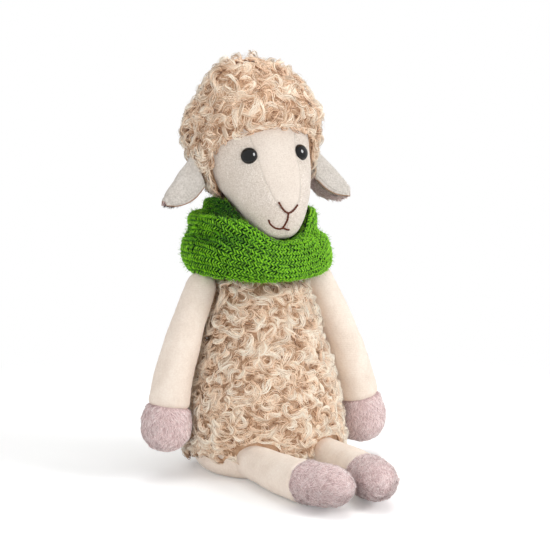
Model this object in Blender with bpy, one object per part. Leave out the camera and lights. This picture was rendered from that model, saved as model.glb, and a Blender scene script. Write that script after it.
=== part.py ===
# A seated plush sheep: curly fleece body and cap, velour face and limbs, plush hooves, a knitted scarf.
# It rests on its seat. It looks along -Y, its own left side is +X, and +Z is up.

import bpy
import bmesh
from math import acos, asin, cos, hypot, pi, radians, sin, sqrt, tan
from mathutils import Matrix, Vector

for item in list(bpy.data.objects):
    bpy.data.objects.remove(item, do_unlink=True)

# Clearances and cloth, in metres like every length here
gap = 0.0003                # between two pieces that touch
filling_gap = 0.0006        # between a skin and the filling inside it
seam_gap = 0.0005           # between two panels of the face
tangent_step_share = 0.005  # step along a path or surface to find its direction
velour = 0.0012             # short-pile cloth of the face, arms, legs and seat
overrun = 0.004             # how far a cutter runs past what it cuts

# Torso
torso_top = 0.116
torso_width = 0.095
torso_depth = 0.089
fleece_thickness = 0.0075   # backing and curls of the body fleece
hem_height = 0.011          # lower edge of the body fleece
lean = radians(5.3)         # the whole torso leans back by this
torso_outline_shares = (    # height over the torso's top, width over its widest
    (0.00, 0.960), (0.14, 1.000), (0.26, 0.995), (0.36, 0.960), (0.48, 0.895), (0.60, 0.825),
    (0.73, 0.742), (0.85, 0.668), (0.925, 0.610), (0.965, 0.550), (1.00, 0.460))

# Seat
seat_flat_radius = 0.032
seat_rim_radius = 0.0435
granule_bag_width = 0.060
granule_bag_depth = 0.038
granule_bag_height = 0.012
granule_bag_waist_share = 0.72
granule_bag_clearance = 0.0025  # behind the room that the legs need

# Neck, a stub with a round end that the head sits on
neck_back = 0.013           # the neck's axis behind the seat's middle
neck_radius = 0.0132
neck_ball_radius = 0.015
neck_length = 0.036         # from the torso's top to the middle of the round end
neck_pivot_height = torso_top + neck_length

# Head, measured without the curls. Level shares are heights over the chin, over the head's height.
chin_drop = 0.0122          # chin below the neck's round end
head_bottom = neck_pivot_height - chin_drop
head_height = 0.0975
head_width = 0.066
head_length = 0.0805
head_front = -0.0295        # the muzzle's foremost place
head_outline_shares = (     # height, half width, foremost and rearmost place, each over its own size
    (0.0000, 0.000, 0.155, 0.155), (0.0150, 0.240, 0.088, 0.240), (0.0440, 0.365, 0.055, 0.305),
    (0.0940, 0.485, 0.030, 0.405), (0.1530, 0.590, 0.008, 0.540), (0.2220, 0.700, 0.000, 0.695),
    (0.3000, 0.810, 0.030, 0.820), (0.3990, 0.915, 0.095, 0.913), (0.5070, 0.985, 0.172, 0.972),
    (0.6160, 1.010, 0.235, 1.000), (0.7340, 0.970, 0.310, 0.988), (0.8520, 0.810, 0.385, 0.885),
    (0.9310, 0.590, 0.455, 0.780), (0.9850, 0.295, 0.525, 0.675), (1.0000, 0.000, 0.595, 0.595))
cap_rise = 0.0070           # curls of the cap that stand above the velour
hairline_level_share = 0.6790    # front edge of the cap over the forehead
nape_level_share = 0.2072        # lowest edge of the cap, behind the neck
hairline_height = head_bottom + head_height * hairline_level_share
nape_height = head_bottom + head_height * nape_level_share
hairline_shares = (         # turn from the front over a half turn, height from nape to forehead
    (0.00, 1.00), (0.13, 0.97), (0.24, 0.90), (0.35, 0.76), (0.43, 0.58), (0.49, 0.40),
    (0.56, 0.23), (0.68, 0.08), (0.85, 0.00), (1.00, 0.00))
nose_level_share = 0.1703   # point of the face's middle panel, under the nose
nose_height = head_bottom + head_height * nose_level_share
gusset_half_width = 0.0160  # half of the middle panel at the hairline
gusset_width_shares = (     # height from nose to hairline, half width over the one at the hairline
    (0.00, 0.000), (0.10, 0.380), (0.20, 0.560), (0.45, 0.740), (0.62, 0.790), (1.00, 1.000))

# Eyes, domes on a stem that a washer holds from inside
eye_level_share = 0.5026
eye_height = head_bottom + head_height * eye_level_share
eye_spread = 0.0168
eye_radius = 0.0048
eye_dome = 0.0036
eye_stem_radius = 0.0012
eye_stem_length = 0.0050
eye_washer_radius = 0.0055
eye_washer_thickness = 0.0012

# Ears, folded lengthwise along a ridge, with the lining inside the fold
ear_root_level_share = 0.4862
ear_root_height = head_bottom + head_height * ear_root_level_share
ear_root_back = 0.017
ear_root_inset = 0.0007     # the cap's surface falls away under the root, and the ear follows it
ear_tip_spread = 0.0598
ear_tip_back = 0.012
ear_tip_level_share = 0.2154
ear_tip_height = head_bottom + head_height * ear_tip_level_share
ear_front_flap = 0.0185
ear_rear_flap = 0.0195
ear_cloth = 0.0012
ear_lining = 0.0016
ear_front_lean = radians(24)  # how far the front flap leans forward
ear_rear_lean = radians(14)   # how far the rear flap leans back
ear_tuck = radians(12)        # how far the front flap tucks in under the ridge
ear_fold_share = 0.14
ear_flap_shares = ((0.0, 1.00), (0.25, 0.97), (0.50, 0.82), (0.75, 0.54), (0.92, 0.26), (1.0, 0.12))

# Scarf, a knitted ring with a rolled outer fold and a collar that stands up inside it, under the jaw
scarf_lift = 0.0008         # over the torso's top
scarf_bottom = torso_top + scarf_lift
scarf_radius = 0.0445
scarf_fold_radius = 0.0385
scarf_collar_right_radius = 0.0285
scarf_collar_left_radius = 0.0330
scarf_inner_radius = 0.0235
scarf_wall = 0.0018         # thickness of the knitted tube's walls where they lie apart
scarf_hem_drop = 0.0010     # the hem hangs lower in front
scarf_front_turn = radians(30)   # the low front of the hem ends here
scarf_hem_turn = radians(60)     # the hem is level from here back
scarf_crease_depth = 0.0024
scarf_crease_width = 0.0045
scarf_crease_share = 0.80   # height of the crease over the chin's
scarf_fold_shares = (       # turn to its left (+) or right (-) over a half turn, height over the chin's
    (-1.00, 1.44), (-0.64, 1.55), (-0.39, 1.60), (-0.22, 1.54), (-0.155, 1.34), (-0.085, 1.01),
    (0.00, 0.95), (0.22, 0.97), (0.44, 1.01), (0.64, 1.12), (1.00, 1.44))
scarf_collar_shares = (
    (-1.00, 1.68), (-0.72, 1.70), (-0.56, 1.90), (-0.44, 1.97), (-0.36, 1.92), (-0.28, 1.66), (-0.22, 1.39),
    (-0.165, 1.17), (-0.11, 1.05), (0.00, 0.97), (0.11, 1.04), (0.17, 1.17), (0.25, 1.50), (0.33, 1.60),
    (0.50, 1.60), (0.72, 1.64), (1.00, 1.68))
scarf_bulge_shares = (      # height from hem to fold, radius from the fold's to the widest
    (0.08, 0.72), (0.22, 0.95), (0.38, 1.00), (0.54, 0.92), (0.70, 0.74), (0.86, 0.46), (0.97, 0.12))
scarf_foot_shares = ((0.42, 0.00), (0.78, 0.02))    # radius from the inner one out, height from hem to fold
scarf_lining_shares = ((0.25, 0.65), (0.00, 0.30))  # radius from the inner one out, height up to the collar

# Arms
shoulder_height = 0.1075
shoulder_back = 0.0095
arm_root_radius = 0.0092
wrist_radius = 0.0122
wrist_rise = 0.0130         # wrist above the hand's middle
hand_radius = 0.0143
hand_reach = 0.0168         # the hand's middle beyond the torso's side
hand_spread = torso_width / 2 + hand_reach
hand_front = 0.0018
left_hand_height = 0.0235
right_hand_height = 0.0308
hand_drop = 0.0143          # the hand's end below its middle
arm_bow_share = 1.50        # how strongly the arm bows outward on its way down
hand_blunt_share = 0.85

# Legs
hip_front = -0.0205
hip_spread_share = 0.2368   # over the torso's width
hip_spread = torso_width * hip_spread_share
hip_height = 0.0118
leg_root_radius = 0.0100
leg_radius = 0.0122
ankle_front = -0.0890
foot_front = -0.1060
foot_spread_share = 0.1663
foot_spread = torso_width * foot_spread_share
foot_height = 0.0148
foot_radius = 0.0118
toe_front = -0.1262
foot_blunt_share = 0.70     # a round end is blunter the lower this is
leg_bow_share = 3.0         # how late the leg turns in and up on its way to the foot
leg_raise = radians(6)
leg_drop = radians(82)

limb_swell_shares = ((0.00, 0.00), (0.30, 0.30), (0.65, 0.70), (1.00, 1.00))
cuff_swell_shares = ((0.00, 0.00), (0.40, 0.62), (0.80, 0.97), (1.00, 1.00))

# Colour and roughness of each material
finishes = {
    "fleece": ((0.70, 0.52, 0.36), 0.95), "velour": ((0.82, 0.72, 0.62), 0.90),
    "hoof_plush": ((0.58, 0.43, 0.43), 0.95), "ear_velour": ((0.66, 0.62, 0.58), 0.90),
    "knit": ((0.07, 0.26, 0.02), 0.90), "eye_plastic": ((0.01, 0.01, 0.01), 0.12),
    "washer_plastic": ((0.75, 0.75, 0.73), 0.40), "filling": ((0.85, 0.85, 0.84), 1.00),
    "granules": ((0.80, 0.78, 0.72), 0.80)}


def material(kind):
    found = bpy.data.materials.get(kind)
    if found:
        return found
    colour, roughness = finishes[kind]
    made = bpy.data.materials.new(kind)
    made.use_nodes = True
    shader = made.node_tree.nodes["Principled BSDF"]
    shader.inputs["Base Color"].default_value = (*colour, 1)
    shader.inputs["Roughness"].default_value = roughness
    shader.inputs["Metallic"].default_value = 0
    made.diffuse_color = (*colour, 1)
    return made


# A smooth curve through the rows of a table, which never overshoots them
def through(table, column=1):
    places = [row[0] for row in table]
    values = [row[column] for row in table]
    steps = [b - a for a, b in zip(places, places[1:])]
    rises = [(b - a) / step for a, b, step in zip(values, values[1:], steps)]
    slopes = [rises[0]]
    for before, after in zip(rises, rises[1:]):
        slopes.append(2 * before * after / (before + after) if before * after > 0 else 0)
    slopes.append(rises[-1])

    def curve(place):
        place = min(max(place, places[0]), places[-1])
        row = max(i for i in range(len(steps)) if places[i] <= place)
        t = (place - places[row]) / steps[row]
        start = values[row] * (1 + 2 * t) * (1 - t) ** 2 + slopes[row] * steps[row] * t * (1 - t) ** 2
        end = values[row + 1] * t * t * (3 - 2 * t) + slopes[row + 1] * steps[row] * t * t * (t - 1)
        return start + end

    return curve


# Goes smoothly from 0 to 1 while a value goes from start to end
def eased(value, start, end):
    t = min(max((value - start) / (end - start), 0), 1)
    return t * t * (3 - 2 * t)


def between(start, end, share):
    return start + (end - start) * share


def steps_from(start, end, count):
    return [between(start, end, i / (count - 1)) for i in range(count)]


def turns(count):
    return [2 * pi * i / count for i in range(count)]


# An empty on a joint's axis, which carries what moves on that joint
world_places = {}


def joint_at(name, place, carrier=None):
    made = bpy.data.objects.new(name, None)
    made.empty_display_size = hand_radius
    made.parent = carrier
    made.location = place - (world_places[carrier.name] if carrier else Vector())
    world_places[made.name] = place
    bpy.context.collection.objects.link(made)
    return made


def finish(name, work, kind, joint=None):
    bmesh.ops.remove_doubles(work, verts=work.verts, dist=gap / 100)
    bmesh.ops.recalc_face_normals(work, faces=work.faces)
    if joint:
        bmesh.ops.translate(work, verts=work.verts, vec=-world_places[joint.name])
    mesh = bpy.data.meshes.new(name)
    work.to_mesh(mesh)
    work.free()
    mesh.shade_smooth()
    mesh.set_sharp_from_angle(angle=radians(50))
    mesh.materials.append(material(kind))
    made = bpy.data.objects.new(name, mesh)
    made.parent = joint
    bpy.context.collection.objects.link(made)
    return made


# Skins a list of rings. A ring of one point is a pole, and an open end is capped flat.
def loft(rings, closed=False):
    work = bmesh.new()
    rows = [[work.verts.new(point) for point in ring] for ring in rings]
    pairs = list(zip(rows, rows[1:])) + ([(rows[-1], rows[0])] if closed else [])
    for lower, upper in pairs:
        count = max(len(lower), len(upper))
        for i in range(count):
            j = (i + 1) % count
            if len(lower) == 1:
                work.faces.new((lower[0], upper[j], upper[i]))
            elif len(upper) == 1:
                work.faces.new((lower[i], lower[j], upper[0]))
            else:
                work.faces.new((lower[i], lower[j], upper[j], upper[i]))
    for end in (rows[0], rows[-1]):
        if not closed and len(end) > 1:
            work.faces.new(end)
    return work


# A panel of cloth between two grids of points. Where a row's ends meet, its edge strips are left out.
def panel(outside, inside):
    work = bmesh.new()
    front = [[work.verts.new(point) for point in row] for row in outside]
    back = [[work.verts.new(point) for point in row] for row in inside]
    rows, columns = len(front), len(front[0])
    meets = [(row[0] - row[-1]).length < gap / 100 for row in outside]
    for i in range(rows - 1):
        for j in range(columns - 1):
            work.faces.new((front[i][j], front[i][j + 1], front[i + 1][j + 1], front[i + 1][j]))
            work.faces.new((back[i][j], back[i + 1][j], back[i + 1][j + 1], back[i][j + 1]))
        if not (meets[i] and meets[i + 1]):
            work.faces.new((front[i][0], front[i + 1][0], back[i + 1][0], back[i][0]))
            work.faces.new((front[i][-1], back[i][-1], back[i + 1][-1], front[i + 1][-1]))
    for i, closes in ((0, len(set(map(tuple, outside[0]))) == 1), (-1, len(set(map(tuple, outside[-1]))) == 1)):
        for j in range(columns - 1):
            if not closes:
                work.faces.new((front[i][j], back[i][j], back[i][j + 1], front[i][j + 1]))
    return work


def hide(cutter):
    cutter.hide_render = True
    cutter.display_type = "WIRE"
    return cutter


def cut(target, cutter):
    step = target.modifiers.new("cut for " + cutter.name, "BOOLEAN")
    step.operation = "DIFFERENCE"
    step.object = cutter
    step.solver = "EXACT"


def oval(middle, half_width, half_depth, height, count):
    return [Vector((half_width * sin(turn), middle - half_depth * cos(turn), height)) for turn in turns(count)]


# A round ring at a place, square to the direction ahead
def hoop(place, ahead, radius, count):
    ahead = ahead.normalized()
    guide = Vector((0, 1, 0)) if abs(ahead.y) < abs(ahead.z) else Vector((0, 0, 1))
    side = guide.cross(ahead).normalized()
    other = ahead.cross(side)
    return [place + side * radius * sin(turn) + other * radius * cos(turn) for turn in turns(count)]


torso_share = through(torso_outline_shares)


def torso_middle(height):
    return height * tan(lean)


def torso_half_width(height):
    return torso_width / 2 * torso_share(height / torso_top)


def torso_ring(height, inset, count):
    half_width = torso_half_width(height)
    return oval(torso_middle(height), half_width - inset, half_width * torso_depth / torso_width - inset,
                height, count)


ankle_share = (hip_front - ankle_front) / (hip_front - foot_front)


# The leg's radius where it leaves the fleece
def leg_way_out_radius():
    share = (torso_depth / 2 + hip_front) / (hip_front - foot_front)
    return between(leg_root_radius, leg_radius, through(limb_swell_shares)(share / ankle_share))


# The room that a leg needs in the torso as it swings from raised to hanging
def leg_room(side, clearance, name):
    work = bmesh.new()
    radius = leg_way_out_radius() + clearance
    hip = Vector((side * hip_spread, hip_front, hip_height))
    swings = [Vector((0, -cos(angle), -sin(angle))) for angle in (-leg_raise, leg_drop / 2, leg_drop)]
    for middle in [hip] + [hip + swing * torso_depth for swing in swings]:
        for tilt in steps_from(-pi / 2, pi / 2, 13):
            for turn in turns(24 if cos(tilt) > gap else 1):
                work.verts.new(middle + radius * Vector((sin(tilt), cos(tilt) * sin(turn), cos(tilt) * cos(turn))))
    hull = bmesh.ops.convex_hull(work, input=work.verts)
    inner = [item for item in hull["geom_interior"] + hull["geom_unused"] if isinstance(item, bmesh.types.BMVert)]
    bmesh.ops.delete(work, geom=list(set(inner)), context="VERTS")
    return hide(finish(name, work, "filling"))


def make_torso():
    heights = steps_from(hem_height, torso_top, 10)
    outside = [torso_ring(height, 0, 24) for height in heights]
    inside = [torso_ring(height, fleece_thickness, 24) for height in heights]
    fleece = finish("body_fleece", loft(outside + inside[::-1], closed=True), "fleece")

    seat_height = hem_height - gap
    depth_share = torso_depth / torso_width

    def bowl_half_width(height):
        rise = 1 - min(height / seat_height, 1)
        return seat_flat_radius + (seat_rim_radius - seat_flat_radius) * sqrt(1 - rise * rise)

    def bowl_ring(level, inset):
        half_width = bowl_half_width(level) - inset
        return oval(torso_middle(level), half_width, half_width * depth_share, max(level, inset), 24)

    levels = [seat_height * share ** 2 for share in (0, 0.2, 0.4, 0.6, 0.8, 1)]
    outer_bowl = [bowl_ring(level, 0) for level in levels]
    inner_bowl = [bowl_ring(level, velour) for level in levels if level == 0 or level > velour]
    seat = finish("seat_panel", loft(outer_bowl + inner_bowl[::-1]), "velour")

    def filling_ring(height):
        bowl = bowl_half_width(height - velour) - velour - filling_gap
        inset = fleece_thickness + filling_gap
        half_width = min(torso_half_width(height) - inset, bowl)
        half_depth = min(torso_half_width(height) * depth_share - inset, bowl * depth_share)
        return oval(torso_middle(height), half_width, half_depth, height, 20)

    floor = velour + filling_gap
    filling_levels = [floor, floor * 2, seat_height / 2] + steps_from(seat_height, torso_top, 8)
    filling = finish("body_stuffing", loft([filling_ring(level) for level in filling_levels]), "filling")

    bag_middle = hip_front + leg_radius + granule_bag_clearance + granule_bag_depth / 2

    def bag_rings(extra):
        rows = []
        for angle in steps_from(-pi / 2, pi / 2, 7):
            out = between(granule_bag_waist_share, 1, cos(angle))
            level = floor + granule_bag_height / 2 * (1 + sin(angle)) + extra * sin(angle)
            rows.append(oval(bag_middle, granule_bag_width / 2 * out + extra,
                             granule_bag_depth / 2 * out + extra, level, 16))
        return rows

    finish("seat_granule_bag", loft(bag_rings(0)), "granules")
    cut(filling, hide(finish("granule_bag_room", loft(bag_rings(filling_gap)), "filling")))
    for side, word in ((1, "left"), (-1, "right")):
        cut(fleece, leg_room(side, gap * 2, word + "_leg_room_in_fleece"))
        cut(seat, leg_room(side, gap, word + "_leg_room_in_seat"))
        cut(filling, leg_room(side, gap * 3, word + "_leg_room_in_stuffing"))


def neck_rings(inset, base):
    ball = neck_ball_radius - inset
    stub = neck_radius - inset
    low = -acos(stub / ball)
    rows = [oval(neck_back, stub, stub, level, 18)
            for level in steps_from(base, neck_pivot_height + ball * sin(low), 3)[:-1]]
    rows += [oval(neck_back, ball * cos(angle), ball * cos(angle), neck_pivot_height + ball * sin(angle), 18)
             for angle in steps_from(low, pi / 2, 7)[:-1]]
    return rows + [[Vector((0, neck_back, neck_pivot_height + ball))]]


def make_neck(joint):
    base = torso_top + gap
    outside = neck_rings(0, base)
    inside = neck_rings(velour, base)
    finish("neck_sleeve", loft(outside[::-1] + inside), "velour", joint)
    finish("neck_stuffing", loft(neck_rings(velour + filling_gap, base)), "filling", joint)


# The head's surface in terms of the turn from the front and a level from chin (0) to crown (1)
head_rows = [(acos(1 - 2 * row[0]) / pi, *row[1:]) for row in head_outline_shares]
head_width_share = through(head_rows, 1)
head_front_share = through(head_rows, 2)
head_back_share = through(head_rows, 3)


def head_level(height):
    return acos(1 - 2 * (height - head_bottom) / head_height) / pi


def head_place(turn, level):
    front = head_front + head_length * head_front_share(level)
    back = head_front + head_length * head_back_share(level)
    half_width = head_width / 2 * head_width_share(level)
    height = head_bottom + head_height * (1 - cos(pi * level)) / 2
    return Vector((half_width * sin(turn), (front + back) / 2 - (back - front) / 2 * cos(turn), height))


def head_normal(turn, level):
    if level < head_level(head_bottom + gap / 2):
        return Vector((0, 0, -1))
    if level > head_level(head_bottom + head_height - gap / 2):
        return Vector((0, 0, 1))
    small = radians(1)
    round_head = head_place(turn + small, level) - head_place(turn - small, level)
    up_head = head_place(turn, min(level + small / pi, 1)) - head_place(turn, max(level - small / pi, 0))
    return round_head.cross(up_head).normalized()


def head_skin(turn, level, lift):
    return head_place(turn, level) + head_normal(turn, level) * lift


def head_turn_at(across, level):
    return asin(min(across / (head_width / 2 * head_width_share(level)), 1))


chin_level = 1 / 12
brow_level = 1 / 2
hairline_share = through(hairline_shares)
gusset_share = through(gusset_width_shares)


def hairline_level(turn):
    apart = abs((turn + pi) % (2 * pi) - pi)
    return head_level(between(nape_height, hairline_height, hairline_share(apart / pi)))


def gusset_turn(level):
    height = head_bottom + head_height * (1 - cos(pi * level)) / 2
    share = (height - nose_height) / (hairline_height - nose_height)
    return head_turn_at(gusset_half_width * gusset_share(share), level) if share > 0 else 0


def seam_turn(level):
    return seam_gap / (head_width / 2 * max(head_width_share(level), head_width_share(chin_level)))


# The face's panels: a share up from the lower end to the hairline, and a share across between two seams
def gusset_skin(up, across, lift):
    turn = 0
    for _ in range(6):
        level = between(head_level(nose_height), hairline_level(turn) - seam_turn(brow_level) / pi, up)
        turn = across * gusset_turn(level)
    return head_skin(turn, level, lift)


def cheek_skin(side, up, across, lift):
    turn = pi * across
    for _ in range(6):
        level = up * (hairline_level(turn) - seam_turn(brow_level) / pi)
        turn = between(gusset_turn(level) + seam_turn(level), pi - seam_turn(level), across)
    return head_skin(side * turn, level, lift)


def make_head(joint):
    ball_room = bmesh.new()
    bmesh.ops.create_uvsphere(ball_room, u_segments=24, v_segments=14, radius=neck_ball_radius + gap,
                              matrix=Matrix.Translation((0, neck_back, neck_pivot_height)))
    ball_room = hide(finish("neck_ball_room", ball_room, "filling", joint))

    def gusset_grid(lift):
        return [[gusset_skin(up, across, lift) for across in steps_from(-1, 1, 6)] for up in steps_from(0, 1, 13)]

    def cheek_grid(side, lift):
        return [[cheek_skin(side, up, across, lift) for across in steps_from(0, 1, 12)]
                for up in steps_from(0, 1, 15)]

    def cap_rings(lift):
        rows = [[head_skin(turn, between(hairline_level(turn) + seam_turn(brow_level) / pi, 1, up), lift)
                 for turn in turns(28)] for up in steps_from(0, 1, 10)[:-1]]
        return rows + [[head_skin(0, 1, lift)]]

    finish("face_gusset", panel(gusset_grid(0), gusset_grid(-velour)), "velour", joint)
    cap = finish("head_fleece", loft(cap_rings(cap_rise)[::-1] + cap_rings(-velour)), "fleece", joint)
    cut(cap, ball_room)

    inset = velour + filling_gap * 1.5
    rings = [[head_skin(turn, level, -inset) for turn in turns(24)] for level in steps_from(0, 1, 14)[1:-1]]
    rings = [[head_skin(0, 0, -inset)]] + rings + [[head_skin(0, 1, -inset)]]
    stuffing = finish("head_stuffing", loft(rings), "filling", joint)
    cut(stuffing, ball_room)

    for side, word in ((1, "left"), (-1, "right")):
        cheek = finish(word + "_cheek", panel(cheek_grid(side, 0), cheek_grid(side, -velour)), "velour", joint)
        cut(cheek, ball_room)
        make_eye(side, word, joint, cheek, stuffing)


def make_eye(side, word, joint, cheek, stuffing):
    level = head_level(eye_height)
    turn = side * head_turn_at(eye_spread, level)
    place = head_place(turn, level)
    axis = head_normal(turn, level)

    def eye_ring(height, radius, count=12):
        return hoop(place + axis * height, axis, radius, count) if radius else [place + axis * height]

    def drop_under(radius):
        return radius * radius / head_width

    seat = gap + drop_under(eye_radius)
    dome = [eye_ring(seat + eye_dome * sin(angle), eye_radius * cos(angle))
            for angle in steps_from(0, pi / 2, 5)[:-1]]
    rings = [[place + axis * (seat + eye_dome)]] + dome[::-1]
    rings += [eye_ring(seat, eye_stem_radius), eye_ring(seat - eye_stem_length, eye_stem_radius)]
    finish(word + "_eye", loft(rings), "eye_plastic", joint)

    washer_top = -velour - gap - drop_under(eye_washer_radius)
    hole = eye_stem_radius + gap
    low = washer_top - eye_washer_thickness
    rings = [eye_ring(washer_top, hole), eye_ring(washer_top, eye_washer_radius),
             eye_ring(low, eye_washer_radius), eye_ring(low, hole)]
    finish(word + "_eye_washer", loft(rings, closed=True), "washer_plastic", joint)

    stem_room = loft([eye_ring(overrun, hole), eye_ring(-velour - overrun, hole)])
    cut(cheek, hide(finish(word + "_eye_stem_room", stem_room, "filling", joint)))
    room = eye_washer_radius + filling_gap
    depth = eye_stem_length + filling_gap
    washer_room = loft([eye_ring(overrun, room), eye_ring(-depth, room)])
    cut(stuffing, hide(finish(word + "_eye_washer_room", washer_room, "filling", joint)))


ear_flap_share = through(ear_flap_shares)


def ear_root(side):
    level = head_level(ear_root_height)
    across = head_width / 2 * head_width_share(level) + cap_rise + gap - ear_root_inset
    return Vector((side * across, ear_root_back, ear_root_height))


# The ear's surface: along the ridge from root to tip, and from the front edge (-1) over the ridge to the rear (1)
def ear_place(side, along, over):
    root = ear_root(side) - Vector((0, 0, ear_cloth + ear_lining + gap))
    tip = Vector((side * ear_tip_spread, ear_tip_back, ear_tip_height))
    ridge = root.lerp(tip, along)
    flap = (ear_front_flap if over < 0 else ear_rear_flap) * ear_flap_share(along)
    angle = ear_front_lean if over < 0 else ear_rear_lean
    down = sqrt(over * over + ear_fold_share ** 2) - ear_fold_share
    inward = -side * sin(ear_tuck) * (down if over < 0 else 0)
    return ridge + flap * Vector((inward, over * sin(angle), -down * cos(angle)))


def ear_skin(side, along, over, lift):
    small = tangent_step_share
    back_along = max(along - small, 0)
    run = ear_place(side, back_along + small, over) - ear_place(side, back_along, over)
    across = ear_place(side, along, over + small) - ear_place(side, along, over - small)
    return ear_place(side, along, over) - side * across.cross(run).normalized() * lift


def make_ear(side, word, joint):
    alongs = steps_from(0, 1, 8)
    overs = (-1, -0.72, -0.44, -0.2, -0.07, 0.07, 0.2, 0.44, 0.72, 1)

    def grid(lift):
        return [[ear_skin(side, along, over, lift) for over in overs] for along in alongs]

    finish(word + "_ear_lining", panel(grid(ear_lining), grid(0)), "hoof_plush", joint)
    finish(word + "_ear_outer", panel(grid(ear_lining + gap + ear_cloth), grid(ear_lining + gap)), "ear_velour", joint)


scarf_fold_share = through(scarf_fold_shares)
scarf_collar_share = through(scarf_collar_shares)


# The scarf's section at a turn from the front, round from its inner foot over hem, fold and collar
def scarf_section(turn):
    turn = (turn + pi) % (2 * pi) - pi
    chin_rise = head_bottom - scarf_bottom
    fold = scarf_bottom + chin_rise * scarf_fold_share(turn / pi)
    collar = scarf_bottom + chin_rise * scarf_collar_share(turn / pi)
    collar_radius = between(scarf_collar_right_radius, scarf_collar_left_radius, (1 + sin(turn)) / 2)
    hem = scarf_bottom - scarf_hem_drop * (1 - eased(abs(turn), scarf_front_turn, scarf_hem_turn))
    groove = fold - scarf_wall
    top = collar - scarf_wall
    rows = [(scarf_inner_radius, scarf_bottom + scarf_wall)]
    rows += [(between(scarf_inner_radius, scarf_radius, out), between(hem, fold, share))
             for out, share in scarf_foot_shares]
    rows += [(between(scarf_fold_radius, scarf_radius, bulge), between(hem, fold, share))
             for share, bulge in scarf_bulge_shares]
    rows += [(scarf_fold_radius - scarf_wall, fold - scarf_wall / 4),
             (between(collar_radius, scarf_fold_radius, 1 / 2), groove),
             (collar_radius + scarf_wall, max(between(groove, top, 1 / 2), groove - scarf_wall)),
             (collar_radius + scarf_wall, max(top, groove - scarf_wall * 2)),
             (collar_radius, collar), (collar_radius - scarf_wall, top)]
    rows += [(between(scarf_inner_radius, collar_radius, out), between(scarf_bottom, top, share))
             for out, share in scarf_lining_shares]
    crease = between(scarf_bottom, head_bottom, scarf_crease_share)
    points = []
    for radius, level in rows:
        near = (level - crease) / scarf_crease_width
        dent = scarf_crease_depth * max(1 - near * near, 0) * abs(sin(turn))
        radius -= dent if radius > scarf_fold_radius else 0
        points.append(Vector((radius * sin(turn), neck_back - radius * cos(turn), level)))
    return points


def make_scarf(joint):
    finish("scarf", loft([scarf_section(turn) for turn in turns(40)], closed=True), "knit", joint)


# Rings along a limb, with a round end before its start and past its end
def limb_rings(path, radius_at, shares, inset, start_cap=0, end_cap=0, cap_share=1.0, count=16):
    def ahead(share):
        return (path(share + tangent_step_share) - path(share - tangent_step_share)).normalized()

    rows = []
    cap_angles = steps_from(0, pi / 2, 5)[1:-1]
    if start_cap:
        radius = radius_at(shares[0]) - inset
        rows.append([path(shares[0]) - ahead(shares[0]) * (start_cap - inset)])
        rows += [hoop(path(shares[0]) - ahead(shares[0]) * (start_cap - inset) * sin(angle), ahead(shares[0]),
                      radius * cos(angle), count) for angle in reversed(cap_angles)]
    rows += [hoop(path(share), ahead(share), radius_at(share) - inset, count) for share in shares]
    if end_cap:
        radius = radius_at(shares[-1]) - inset
        rows += [hoop(path(shares[-1]) + ahead(shares[-1]) * (end_cap - inset) * sin(angle), ahead(shares[-1]),
                      radius * cos(angle) ** cap_share, count) for angle in cap_angles]
        rows.append([path(shares[-1]) + ahead(shares[-1]) * (end_cap - inset)])
    return rows


# A stuffed limb: a sleeve closed at its root, a plush hoof over its end, and the stuffing in both
def make_limb(name, joint, path, root_radius, cuff_radius, end_radius, cuff_share, end_cap, cap_share):
    swell = through(limb_swell_shares)
    cuff_swell = through(cuff_swell_shares)

    def radius_at(share):
        if share <= cuff_share:
            return between(root_radius, cuff_radius, swell(share / cuff_share))
        return between(cuff_radius, end_radius, cuff_swell((share - cuff_share) / (1 - cuff_share)))

    length = (path(1) - path(0)).length
    sleeve_shares = steps_from(0, cuff_share - gap / length, 7)
    hoof_shares = steps_from(cuff_share, 1, 3)
    core_shares = steps_from(0, cuff_share, 6) + hoof_shares[1:]
    outside = limb_rings(path, radius_at, sleeve_shares, 0, start_cap=root_radius)
    inside = limb_rings(path, radius_at, sleeve_shares, velour, start_cap=root_radius)
    sleeve = loft(outside + inside[::-1])
    outside = limb_rings(path, radius_at, hoof_shares, 0, end_cap=end_cap, cap_share=cap_share)
    inside = limb_rings(path, radius_at, hoof_shares, velour, end_cap=end_cap, cap_share=cap_share)
    hoof = loft(outside[::-1] + inside)
    finish(name + "_sleeve", sleeve, "velour", joint)
    finish(name + "_hoof", hoof, "hoof_plush", joint)
    core = limb_rings(path, radius_at, core_shares, velour + filling_gap, start_cap=root_radius, end_cap=end_cap,
                      cap_share=cap_share, count=12)
    finish(name + "_stuffing", loft(core), "filling", joint)


def arm_path(side):
    small = arm_root_radius / 4
    slope = (torso_half_width(shoulder_height - small) - torso_half_width(shoulder_height + small)) / (2 * small)
    shoulder_spread = torso_half_width(shoulder_height) + (gap + arm_root_radius) * hypot(1, slope)
    hand_height = left_hand_height if side > 0 else right_hand_height

    def path(share):
        up = 1 - share
        bow = max(up, 0) ** arm_bow_share
        return Vector((side * between(hand_spread, shoulder_spread, bow), between(hand_front, shoulder_back, bow),
                       between(hand_height, shoulder_height, up)))

    return path


def leg_path(side):
    def path(share):
        bow = max(share, 0) ** leg_bow_share
        return Vector((side * between(hip_spread, foot_spread, bow), between(hip_front, foot_front, share),
                       between(hip_height, foot_height, bow)))

    return path


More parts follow.
